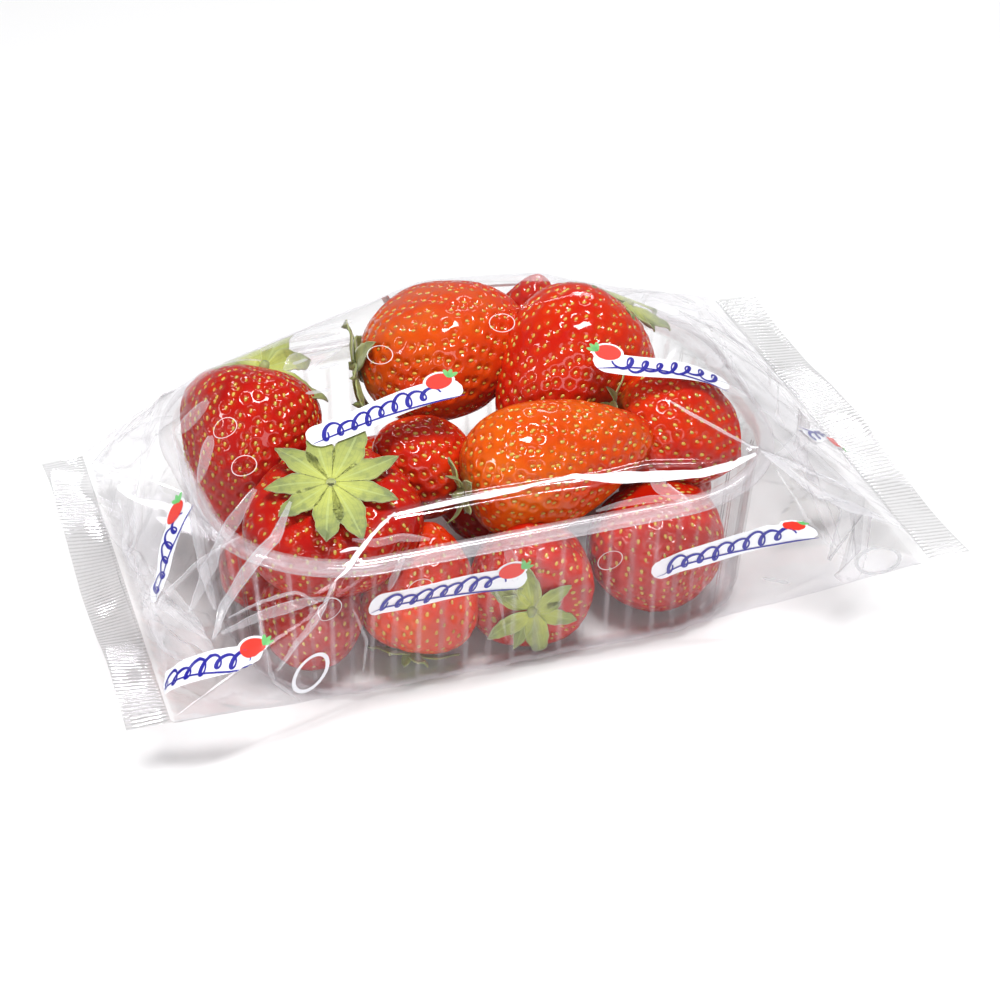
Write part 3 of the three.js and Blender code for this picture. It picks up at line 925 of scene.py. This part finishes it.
tray = bmesh.new()
painted_light_shade = tray.verts.layers.float.new("painted_light_shade")
made = bmesh.ops.create_grid(tray, x_segments=TRAY_RING, y_segments=len(SECTION) - 1, size=1.0)["verts"]
for vert in made:
    step = round((vert.co.x + 1) / 2 * TRAY_RING)
    row = round((vert.co.y + 1) / 2 * (len(SECTION) - 1))
    inset, height, ribbed = SECTION[row]
    vert.co = rim_point(step / TRAY_RING, inset + RIB_DEPTH * ribbed * rib_profile(step), height)
    # painted light and shade: each rib's rising flank is painted lighter and its falling flank darker
    steep = rib_profile(step + 1) - rib_profile(step - 1)
    vert[painted_light_shade] = max(min(steep, 1.0), -1.0) * ribbed
    if row in LIP_ROWS:
        vert[painted_light_shade] = LIP_PAINTED_HIGHLIGHT
    if row in FOOT_ROWS:
        vert[painted_light_shade] = FOOT_PAINTED_LIGHT
bmesh.ops.remove_doubles(tray, verts=tray.verts, dist=0.001)
floor_edges = [edge for edge in tray.edges if edge.is_boundary and edge.verts[0].co.z < RIM_TOP / 2]
bmesh.ops.contextual_create(tray, geom=floor_edges)
bmesh.ops.recalc_face_normals(tray, faces=tray.faces)
print("tray", len(tray.faces), "faces", len(floor_edges), "edges round the floor")

# %% [markdown]
# ## The seeds
# A strawberry's seeds are small hard teardrops, pointing along the berry and half sunk in their
# pits. There are thousands, so one seed of a few dozen faces is made with an operator and its
# points are copied by arrays into a single mesh, each copy turned and sized for its own pit.

# %% Place the seeds
SEED_HALF = (0.42, 0.66, 0.34)
# how deep a seed's middle lies, as a share of the pit's depth
SEED_SUNK = 0.42


def seed_template():
    bm = bmesh.new()
    bmesh.ops.create_uvsphere(bm, u_segments=5, v_segments=4, radius=1.0)
    bmesh.ops.rotate(bm, verts=bm.verts, matrix=Matrix.Rotation(math.pi / 2, 3, "X"))
    points = np.array([tuple(v.co) for v in bm.verts])
    faces = [[v.index for v in f.verts] for f in bm.faces]
    bm.free()
    points[:, 0] *= 1 - 0.3 * points[:, 1]
    return points * np.array(SEED_HALF), faces


def seed_frame(berry, index, t, around, matrix):
    """How a seed is turned at its spot on the berry, and where its middle is in the heap."""
    step = 0.012
    spot = berry_point(berry, index, t, around)
    ahead = berry_point(berry, index, min(t + step, 0.999), around)
    along = ahead - berry_point(berry, index, t - step, around)
    turned = berry_point(berry, index, t, around + step) - berry_point(berry, index, t, around - step)
    outward = turned.cross(along).normalized()
    if outward.dot(Vector((spot.x, spot.y, 0))) < 0:
        outward = -outward
    across = along.normalized().cross(outward)
    turn = Matrix((across, along.normalized(), outward)).transposed()
    sunk = spot - outward * PIT_DEPTH * SEED_SUNK
    return matrix.to_3x3() @ turn, press_in(leaned(berry, sunk, matrix))


def seeds_mesh():
    template, faces = seed_template()
    points, polygons, tones = [], [], []
    draw = random.Random(7)
    for index, berry in enumerate(BERRIES):
        matrix = berry_matrix(berry)
        for t, around, _ in bodies[index][1]:
            turn, place = seed_frame(berry, index, t, around, matrix)
            size = draw.uniform(0.86, 1.14) * (0.75 if t > 0.9 else 1.0)
            start = len(points) * len(template)
            points.append(template * size @ np.array(turn).T + np.array(place))
            polygons += [[start + v for v in face] for face in faces]
            tones += [draw.random()] * len(template)
    mesh = bpy.data.meshes.new("seeds")
    mesh.from_pydata(np.concatenate(points) * MM, [], polygons)
    mesh.attributes.new("tone", "FLOAT", "POINT").data.foreach_set("value", tones)
    return mesh


seeds = seeds_mesh()
print("seeds", len(seeds.polygons), "faces")

# %% [markdown]
# ## The calyxes
# Most of the strawberries keep their green star: a ring of long leaves, folded along the middle,
# some with a forked end. Those seen from the side lie on the shoulder, with three shorter leaves
# between them. Those that face the viewer are spread flat, each with its own droop, on the berry's
# `star` direction. One grid makes one leaf; the same rule draws them all with small random changes.

# %% Draw the leaves
LEAF_ALONG, LEAF_ACROSS = 15, 8
LEAF_SHEET = 0.32
STEM_RADIUS = 1.15
# a leaf starts this far from the stem's middle, and every third one lies at the same level
LEAF_START = 1.2
LEVEL_STEP = 0.5
LEAST_LIFT = 0.4
# stems are coloured as what lies beyond a leaf's tip
STEM_BLADE = 1.2
# how far leaves keep in from the film
LEAF_GAP = 0.5
# leaves follow the shoulder up to this share of its radius, and go on straight beyond it
SHOULDER_END = 0.92


def shoulder(berry):
    """Radius and height of the skin from the calyx to the berry's widest place."""
    shares = np.linspace(0.0, 1.0, 200)
    radii = np.array([radius_at(berry, t) for t in shares])
    widest = int(radii.argmax())
    return radii[:widest], (shares[:widest] - CALYX_END) * berry["long"]


def leaf_half_width(s, long, forked):
    body = math.sin(math.pi * (0.05 + 0.95 * s) ** 0.8) ** 0.8
    teeth = 0.07 * math.sin(s * 26) * smoothstep(0.3, 0.6, s)
    fork = 0.12 * smoothstep(0.6, 0.8, s) * (1 - smoothstep(0.85, 1.0, s)) if forked else 0
    return long * 0.2 * (body * (1 + teeth) + fork)


def draw_leaf(bm, berry, around, long, lift, draw, matrix, level):
    made = bmesh.ops.create_grid(bm, x_segments=LEAF_ALONG, y_segments=LEAF_ACROSS, size=1.0)["verts"]
    vein = bm.verts.layers.float["vein"]
    blade = bm.verts.layers.float["blade"]
    radii, heights = shoulder(berry)
    forked, fold = draw.random() < 0.35, draw.uniform(0.25, 0.75)
    curl, sway, twist = draw.uniform(0.2, 1.0), draw.uniform(-0.25, 0.25), draw.uniform(-0.5, 0.5)
    turn = Matrix.Rotation(around, 3, "Z")
    if "star" in berry:
        droop = draw.uniform(-0.12, 0.42)
        radii = np.array([0.0, 0.5, 1.0]) * long
        heights = np.array([0.0, 0.03, droop]) * long - CALYX_END * berry["long"]
    last = radii[-1] * SHOULDER_END
    meeting = math.tan(math.pi / berry["leaves"]) * 1.2
    for vert in made:
        s, w = (vert.co.x + 1) / 2, vert.co.y
        notch = 0.16 * (1 - abs(w)) * smoothstep(0.75, 1.0, s) if forked else 0.0
        out = LEAF_START + (long - LEAF_START) * (s - notch)
        half = min(leaf_half_width(s, long, forked), out * meeting)
        side = w * half + sway * out * s * 0.5
        radius = math.hypot(out, side)
        skin = float(np.interp(min(radius, last), radii, heights)) + max(radius - last, 0) * 0.9
        up = 0.55 + level + lift * s ** 2.5 + curl * long * 0.12 * s ** 6
        up += fold * half * abs(w) ** 1.3 * 0.5 + twist * side * s
        up += 0.3 * math.sin(s * 9 + w * 3 + around) * s * abs(w)
        vert[vein] = abs(w)
        vert[blade] = s
        point = turn @ Vector((out, side, 0))
        point.z = skin - max(up, LEAST_LIFT)
        vert.co = matrix @ point


def draw_stem(bm, berry, draw, matrix):
    made = bmesh.ops.create_cone(bm, cap_ends=True, segments=14, radius1=STEM_RADIUS * 1.25,
                                 radius2=STEM_RADIUS * 0.8, depth=1.0)["verts"]
    blade = bm.verts.layers.float["blade"]
    height = draw.uniform(2.0, 4.5)
    lean = Vector((draw.uniform(-0.5, 0.5), draw.uniform(-0.5, 0.5), 0))
    for vert in made:
        top = vert.co.z + 0.5
        point = Vector((vert.co.x, vert.co.y, -CALYX_END * berry["long"] + 0.6 - top * height))
        vert[blade] = STEM_BLADE
        vert.co = matrix @ (point + lean * top * height * 0.5)


def inside_film(point):
    """Pulls a leaf's point in under the film where it would stick out of it."""
    place, normal, _, _ = hulls[0].find_nearest(point)
    if normal.dot(point - place) > -LEAF_GAP:
        return place - normal * LEAF_GAP
    return point


def star_matrix(berry):
    """Where the leaves lie: on the berry's own shoulder, or tipped over to face another way."""
    matrix = berry_matrix(berry)
    if "star" not in berry:
        return matrix
    heart = Vector((0, 0, -CALYX_END * berry["long"]))
    way = Vector(berry["star"]).normalized()
    turn = Vector((0, 0, -1)).rotation_difference(way).to_matrix().to_4x4()
    away = way * berry["rise"]
    return Matrix.Translation(matrix @ heart + away) @ turn @ Matrix.Translation(-heart)


calyxes = bmesh.new()
for name in ("vein", "blade"):
    calyxes.verts.layers.float.new(name)
draw = random.Random(21)
for berry in BERRIES:
    if "leaves" not in berry:
        continue
    matrix = star_matrix(berry)
    start = draw.uniform(0, 1)
    first_lift = berry.get("lift", 2.0)
    # how many leaves, their share of the full length, and how far their ends lift
    leaf_rings = [(berry["leaves"], 1.0, first_lift), (0 if "star" in berry else 3, 0.72, first_lift + 1.5)]
    for number, (count, share, lift) in enumerate(leaf_rings):
        for leaf in range(count):
            around = 2 * math.pi * (leaf + 0.5 * number + start + draw.uniform(-0.16, 0.16)) / count
            long = berry["leaf"] * share * draw.uniform(0.82, 1.08)
            own_lift = lift * draw.uniform(0.3, 1.6)
            draw_leaf(calyxes, berry, around, long, own_lift, draw, matrix, LEVEL_STEP * (leaf % 3))
    draw_stem(calyxes, berry, draw, matrix)
for vert in calyxes.verts:
    vert.co = inside_film(press_in(vert.co))
print("calyxes", len(calyxes.faces), "faces")

# %% [markdown]
# ## Vents and print
# The wrap is printed with a small banner again and again, turned this way and that as the film was
# folded round the pack. Here each banner is a plain white ribbon with a blue line, a blue coil
# along it, and a red fruit with three green leaves at one end. A shape is a grid, or a disc, and a
# rule that moves its points in the print's plane. Each point is then dropped on the film, so the
# print follows each crease. The vents are thin rings, as a punch leaves them.

# %% Draw flat shapes on the film
PRINTS = {name: bmesh.new() for name in ("white", "blue", "red", "green", "grey", "vent")}
# millimetres for each loop of a coil, and how far its loops swing back
COIL_PITCH = 5.2
LOOP_SIZE = 2.3


def film_place(pixel, toward):
    """The plane in which a print lies: its middle, its two ways and the film's outward way."""
    origin, normal = on_film(pixel)
    ahead = on_film(toward)
    way = (ahead[0] - origin) if ahead else RIGHT
    along = (way - normal * way.dot(normal)).normalized()
    return origin, along, normal.cross(along), normal


def lay_on_film(verts, place, lift, rule):
    origin, along, up, normal = place
    for vert in verts:
        x, y = rule(vert.co.x, vert.co.y)
        flat = origin + along * x + up * y
        vert.co = film_tree.find_nearest(flat)[0] + normal * lift


def strip(ink, steps, across, place, lift, rule):
    made = bmesh.ops.create_grid(PRINTS[ink], x_segments=steps, y_segments=across, size=1.0)["verts"]
    lay_on_film(made, place, lift, rule)


def ribbon_line(u):
    """The middle line of a banner: a flat S."""
    return 1.1 * math.sin(u * 2.6 + 0.4)


def ribbon(ink, place, half_long, half_wide, lift):
    def rule(u, w):
        past = max(abs(u) * half_long - half_long + half_wide, 0)
        rounded = math.sqrt(max(1 - past ** 2 / half_wide ** 2, 0))
        return u * half_long, ribbon_line(u) + w * half_wide * rounded
    strip(ink, 90, 8, place, lift, rule)


def ring_shape(ink, place, half, line, lift, steps=40):
    def rule(u, w):
        grow = line / 2 * w
        return (half[0] + grow) * math.cos(math.pi * u), (half[1] + grow) * math.sin(math.pi * u)
    strip(ink, steps, 1, place, lift, rule)


def coil_shape(ink, place, start, end, loops, half, line, lift):
    """One stroke that runs on in loops, like a coil laid flat, thicker on its way down."""
    turn = 2 * math.pi * loops
    pace = (end - start) / turn

    def rule(u, w):
        share = (u + 1) / 2
        angle = turn * share - math.pi / 2
        x = start + (end - start) * share - pace * LOOP_SIZE * math.sin(angle)
        y = -half * math.cos(angle) * (1 + 0.25 * math.sin(angle * 0.37 + 1))
        way_x, way_y = pace * (1 - LOOP_SIZE * math.cos(angle)), half * math.sin(angle)
        wide = line / 2 * (0.75 + 0.35 * math.sin(angle)) * w / math.hypot(way_x, way_y)
        x, y = x - wide * way_y, y + wide * way_x
        return x + 0.3 * y, y + ribbon_line(x * 2 / (end - start))
    strip(ink, loops * 22, 1, place, lift, rule)


def line_shape(ink, place, half_long, shift, wide, lift, bend=0.0):
    """A thin line with pointed ends, shifted to one side and bent."""
    def rule(u, w):
        share = (u + 1) / 2
        taper = wide / 2 * min(1.0, 6 * share + 0.2, 6 * (1 - share) + 0.2)
        return half_long * u, shift + bend * math.sin(math.pi * share) + w * taper
    strip(ink, 40, 1, place, lift, rule)


def spot_shape(ink, place, centre, half, lift, turn=0.0):
    def rule(u, w):
        x, y = u * half[0], w * half[1]
        return (centre[0] + x * math.cos(turn) - y * math.sin(turn),
                centre[1] + x * math.sin(turn) + y * math.cos(turn))
    made = bmesh.ops.create_circle(PRINTS[ink], cap_ends=True, cap_tris=True, segments=28, radius=1.0)
    lay_on_film(made["verts"], place, lift, rule)


def banner(pixel, toward, long, wide, flip):
    """A ribbon, its blue line, one blue coil and a red fruit with leaves at one end."""
    place = film_place(pixel, toward)
    half, tall = long / 2, wide / 2
    ribbon("white", place, half, tall * 0.82, 0.30)
    line_shape("blue", place, half * 0.96, -tall * 0.7 * flip, 0.5, 0.42, bend=1.3 * flip)
    coil_shape("blue", place, -half * 0.80, half * 0.66, round(long / COIL_PITCH), tall * 0.46, 1.0, 0.42)
    fruit = (half * 0.78, tall * 0.75 * flip + 0.4)
    spot_shape("white", place, fruit, (4.0, 3.1), 0.34)
    spot_shape("red", place, fruit, (3.3, 2.5), 0.44)
    for turn in (0.2, 0.9, 1.6):
        stalk = (fruit[0] + 2.7 + 1.2 * math.cos(turn), fruit[1] + (0.4 + 1.2 * math.sin(turn)) * flip)
        spot_shape("green", place, stalk, (1.5, 0.6), 0.48, turn=turn * flip)


# %% Lay the print and the vents
# the pixel of each banner's middle, one that it points to, its length and width, and its up side
BANNERS = [
    ((384, 412), (440, 394), 41, 8.5, 1),
    ((664, 368), (610, 362), 36, 8.0, -1),
    ((447, 590), (500, 582), 40, 8.5, 1),
    ((734, 546), (780, 536), 42, 8.5, 1),
    ((168, 552), (180, 522), 26, 8.0, 1),
    ((205, 668), (240, 666), 30, 8.0, 1),
    ((818, 436), (832, 440), 18, 6.0, -1),
]
VENT_RADIUS = 3.05
VENT_PIXELS = [(225, 428), (380, 355), (502, 323), (420, 588), (244, 466), (610, 560), (330, 610)]
# short grey bars that darken the film, most of them over the gap behind the heap: pixel, one that it points
# to, length
GREY_BARS = [
    ((776, 580), (806, 586), 7.0), ((322, 338), (345, 331), 7.0), ((326, 352), (348, 346), 8.5),
    ((330, 366), (352, 360), 5.5), ((318, 392), (345, 388), 6.0), ((300, 362), (318, 356), 4.0),
]
for row in BANNERS:
    banner(*row)
for x, y in VENT_PIXELS:
    ring_shape("vent", film_place((x, y), (x + 10, y)), (VENT_RADIUS, VENT_RADIUS), 0.22, 0.1, steps=64)
ring_shape("white", film_place((310, 672), (330, 668)), (4.6, 5.6), 1.1, 0.3)
ring_shape("grey", film_place((878, 560), (900, 556)), (5.2, 4.4), 1.0, 0.2)
for pixel, toward, long in GREY_BARS:
    line_shape("grey", film_place(pixel, toward), long / 2, 0, 1.1, 0.15)
print("print faces", {name: len(bm.faces) for name, bm in PRINTS.items()})

# %% [markdown]
# ## Materials
# Skin: deep red to orange by ripeness, warmer in the pits round the seeds and paler at the stem,
# under a clear wet coat that gives the small sharp highlights.

# %% Berry skin
def berry_skin():
    nodes = Nodes("berry_skin")
    cloud = nodes.times(nodes.math("SUBTRACT", nodes.noise(110, 2), 0.5), 0.30)
    mottled = nodes.math("ADD", nodes.attribute("ripe"), cloud)
    flesh = nodes.ramp(mottled, [(0.0, (0.66, 0.21, 0.006)), (0.22, (0.63, 0.095, 0.001)),
                                 (0.42, (0.58, 0.026, 0.0005)), (0.62, (0.49, 0.006, 0.0005)),
                                 (0.85, (0.35, 0.001, 0.0008))])
    glow = nodes.blend(nodes.times(nodes.attribute("pit"), 0.22), flesh, (0.64, 0.10, 0.002))
    pale = nodes.blend(nodes.times(nodes.attribute("crown"), 0.4), glow, (0.80, 0.30, 0.06))
    nodes.set(Base_Color=pale, Roughness=0.34, Specular_IOR_Level=0.08, IOR=1.42,
              Coat_Weight=0.75, Coat_Roughness=0.045,
              Normal=nodes.bump(nodes.noise(1200, 1), 0.15, 0.0003))
    return nodes.material


# %% [markdown]
# Seeds are straw yellow to green. Leaves are pale in the middle of the star, darker and olive
# towards the tips, with patches, fine stripes along the blade, a pale midrib and a dull down that
# lifts their edges.

# %% Seeds and leaves
def seed_finish():
    nodes = Nodes("seed_husk")
    colour = nodes.ramp(nodes.attribute("tone"), [(0.0, (0.46, 0.21, 0.02)), (0.25, (0.62, 0.36, 0.035)),
                                                  (0.7, (0.66, 0.46, 0.08)), (1.0, (0.50, 0.42, 0.08))])
    nodes.set(Base_Color=colour, Roughness=0.32, Coat_Weight=0.5, Coat_Roughness=0.1)
    return nodes.material


def leaf_finish():
    nodes = Nodes("calyx_leaf")
    vein, blade = nodes.attribute("vein"), nodes.attribute("blade")
    cloud = nodes.times(nodes.math("SUBTRACT", nodes.noise(160, 4), 0.5), 0.7)
    green = nodes.ramp(nodes.math("ADD", nodes.times(blade, 0.75), cloud),
                       [(0.0, (0.50, 0.54, 0.10)), (0.3, (0.38, 0.42, 0.09)),
                        (0.6, (0.26, 0.30, 0.08)), (0.95, (0.24, 0.23, 0.09))])
    patches = nodes.ramp(nodes.noise(420, 3), [(0.47, (0, 0, 0)), (0.62, (1, 1, 1))])
    outer = nodes.math("MULTIPLY", blade, 0.9, True)
    blotched = nodes.blend(nodes.times(patches, outer), green, (0.15, 0.19, 0.07))
    stripes = nodes.math("GREATER_THAN", nodes.math("SINE", nodes.times(vein, 21.0)), 0.75)
    striped = nodes.blend(nodes.times(stripes, 0.22), blotched, (0.16, 0.24, 0.05))
    midrib = nodes.math("LESS_THAN", vein, 0.09)
    ribbed = nodes.blend(nodes.times(midrib, 0.35), striped, (0.52, 0.60, 0.22))
    edge = nodes.math("GREATER_THAN", vein, 0.93)
    hairy = nodes.blend(nodes.times(edge, 0.3), ribbed, (0.60, 0.66, 0.35))
    nodes.set(Base_Color=hairy, Roughness=0.55, Sheen_Weight=0.35, Sheen_Roughness=0.4,
              Normal=nodes.bump(nodes.noise(700, 5), 0.5, 0.0004))
    return nodes.material


# %% [markdown]
# Clear plastic is mostly nothing: what shows is the light that its two faces throw back, more at
# a slant, and a little milk in folds and in the thick rim. So its alpha grows with the slant that
# Layer Weight gives and with a mask of milkiness, which on the film's ridges and whitest folds is a
# painted highlight, and what is left of the surface is a bright mirror that the lights draw on.
# Thin dark lines are painted between facets and teeth as painted shade, and the tray's rib flanks,
# lip, step and foot carry painted light and shade.

# %% Film and tray
def film_finish():
    nodes = Nodes("clear_film")
    whiteness, line = nodes.attribute("haze_and_highlight"), nodes.attribute("line")
    cloud = nodes.math("ADD", nodes.times(whiteness, 0.6), nodes.times(line, 0.5))
    tint = nodes.blend(whiteness, (0.70, 0.68, 0.73), (0.93, 0.92, 0.95))
    # painted shade: the line value darkens the mirror's colour and raises the alpha along facet edges and
    # crimp teeth
    nodes.set(Base_Color=nodes.blend(line, tint, (0.42, 0.41, 0.44)), Metallic=1.0,
              Roughness=nodes.math("ADD", 0.07, nodes.times(whiteness, 0.35)),
              Alpha=nodes.math("ADD", nodes.math("ADD", nodes.slant(4.0, 0.75), cloud), 0.035, True))
    return nodes.material


def folded_finish():
    """Two or three layers of film together: a dull white that is half see-through, solid white where it is a
    painted highlight, with dark edges of painted shade.
    """
    nodes = Nodes("folded_film")
    line = nodes.attribute("line")
    cloud = nodes.math("ADD", nodes.attribute("haze_and_highlight"), nodes.times(line, 0.3), True)
    nodes.set(Base_Color=nodes.blend(line, (0.92, 0.91, 0.95), (0.40, 0.38, 0.42)), Roughness=0.22,
              Alpha=cloud, Coat_Weight=0.5, Coat_Roughness=0.1)
    return nodes.material


def tray_finish():
    nodes = Nodes("tray_plastic")
    height = nodes.add("ShaderNodeSeparateXYZ", Vector=nodes.place()).outputs["Z"]
    rim = nodes.add("ShaderNodeMapRange", Value=height, From_Min=(RIM_TOP - 4.5) * MM,
                    From_Max=(RIM_TOP - 2.5) * MM).outputs["Result"]
    # painted light and shade: more opaque on all rib flanks, lip, step and foot; lighter on rising flanks,
    # lip, step and foot, darker on falling flanks
    painted_light_shade = nodes.attribute("painted_light_shade")
    painted_glint = nodes.times(nodes.math("ABSOLUTE", painted_light_shade), 0.12)
    whiteness = nodes.math("ADD", nodes.times(rim, 0.17), 0.014)
    wall = nodes.math("ADD", nodes.math("ADD", nodes.slant(5.0, 0.4), painted_glint), whiteness, True)
    rim_milk_and_painted_light = nodes.math("ADD", rim, painted_light_shade, True)
    nodes.set(Base_Color=nodes.blend(rim_milk_and_painted_light, (0.42, 0.40, 0.42), (0.92, 0.89, 0.93)), Metallic=0.5,
              Roughness=0.14, Alpha=wall)
    return nodes.material


def ink(name, colour, cover):
    nodes = Nodes(name)
    nodes.set(Base_Color=(*colour, 1), Roughness=0.35, Alpha=cover, Coat_Weight=0.4, Coat_Roughness=0.08)
    return nodes.material


# %% [markdown]
# ## Put the pieces in the scene
# Each berry is a piece of its own, and all the seeds and all the calyxes are one piece each. They
# stand for the heap's solid; the tray, the film and what is on the film stand for theirs.

# %% Berries, seeds and calyxes
skin = berry_skin()
for number, (bm, _) in enumerate(bodies):
    finish(bm, f"berry_{number + 1:02d}", skin, "strawberries")
finish_mesh(seeds, "seeds", seed_finish(), "strawberries")
leaves = finish(calyxes, "calyxes", leaf_finish(), "strawberries")
sheet = leaves.modifiers.new("sheet", "SOLIDIFY")
sheet.thickness = LEAF_SHEET * MM
sheet.offset = 0.0

# %% Tray and film
shell = finish(tray, "tray_shell", tray_finish(), "punnet")
wall = shell.modifiers.new("wall", "SOLIDIFY")
wall.thickness = TRAY_WALL * MM
wall.offset = -1.0
clear_film = film_finish()
finish(film, "film", clear_film, "film_wrap")
finish(folds, "film_folds", folded_finish(), "film_wrap")
for side, bm in zip(("left", "right"), crimp_bands):
    finish(bm, f"crimp_{side}", clear_film, "film_wrap")

# %% Print
INKS = {
    "white": ((0.86, 0.87, 0.92), 0.9), "blue": ((0.012, 0.010, 0.27), 0.97),
    "red": ((0.74, 0.03, 0.015), 0.95), "green": ((0.14, 0.5, 0.15), 0.9),
    "grey": ((0.55, 0.55, 0.57), 0.5), "vent": ((0.95, 0.93, 0.95), 0.6),
}
for name, bm in PRINTS.items():
    colour, cover = INKS[name]
    bmesh.ops.remove_doubles(bm, verts=bm.verts, dist=0.001)
    bmesh.ops.recalc_face_normals(bm, faces=bm.faces)
    finish(bm, f"print_{name}", ink(f"ink_{name}", colour, cover), "film_wrap")

# %% [markdown]
# ## Floor and light
# The photograph is a pack on white, under one large soft light above and a little in front. The
# room is dim, so that the clear film shows by what it throws back, and only what the camera sees
# of it directly is plain white. The floor is nearly white.

# %% Floor, room and lamps
floor_bm = bmesh.new()
bmesh.ops.create_grid(floor_bm, x_segments=8, y_segments=8, size=4.0)
floor_mesh = bpy.data.meshes.new("floor")
floor_bm.to_mesh(floor_mesh)
floor_bm.free()
floor = bpy.data.objects.new("floor", floor_mesh)
bpy.context.scene.collection.objects.link(floor)
pale = Nodes("pale_floor")
pale.set(Base_Color=(0.87, 0.87, 0.875, 1), Roughness=0.8)
floor_mesh.materials.append(pale.material)

# how bright the room is at each height, from the horizon to straight above
ROOM = [(0.0, 0.36), (0.30, 0.32), (0.62, 0.14), (1.0, 0.06)]
world = bpy.data.worlds.new("studio")
bpy.context.scene.world = world
world.use_nodes = True
sky = world.node_tree
way, ramp, backdrop, view, rays = (sky.nodes.new(kind) for kind in (
    "ShaderNodeSeparateXYZ", "ShaderNodeValToRGB", "ShaderNodeMix", "ShaderNodeTexCoord",
    "ShaderNodeLightPath"))
backdrop.data_type = "RGBA"
backdrop.inputs[MIX_B].default_value = (1, 1, 1, 1)
for output, socket in (
        (view.outputs["Generated"], way.inputs["Vector"]),
        (way.outputs["Z"], ramp.inputs["Fac"]),
        (rays.outputs["Is Camera Ray"], backdrop.inputs["Factor"]),
        (ramp.outputs["Color"], backdrop.inputs[MIX_A]),
        (backdrop.outputs[MIX_RESULT], sky.nodes["Background"].inputs["Color"])):
    sky.links.new(output, socket)
for _ in ROOM[2:]:
    ramp.color_ramp.elements.new(0.5)
for element, (height, bright) in zip(ramp.color_ramp.elements, ROOM):
    element.position = height
    element.color = (bright, bright, bright, 1)


def lamp(name, place, size, strength):
    """A square soft box, in millimetres, that faces the pack."""
    light = bpy.data.lights.new(name, "AREA")
    light.shape = "RECTANGLE"
    light.size, light.size_y = size[0] * MM, size[1] * MM
    light.energy = strength
    box = bpy.data.objects.new(name, light)
    bpy.context.scene.collection.objects.link(box)
    turn = (Vector(place) - AIM).to_track_quat("Z", "Y").to_matrix().to_4x4()
    box.matrix_world = Matrix.Translation(Vector(place) * MM) @ turn


lamp("soft_box_over", (60, -190, 900), (340, 190), 8.8)
lamp("soft_box_back", (400, 640, 820), (320, 150), 2.0)
lamp("front_fill", (-160, -900, 430), (640, 300), 2.4)
lamp("strip_left", (-700, -150, 350), (80, 400), 2.4)

scene = bpy.context.scene
scene.view_settings.view_transform = "Standard"
scene.cycles.transparent_max_bounces = 24
scene.cycles.max_bounces = 6
scene.cycles.diffuse_bounces = 3
scene.cycles.glossy_bounces = 2
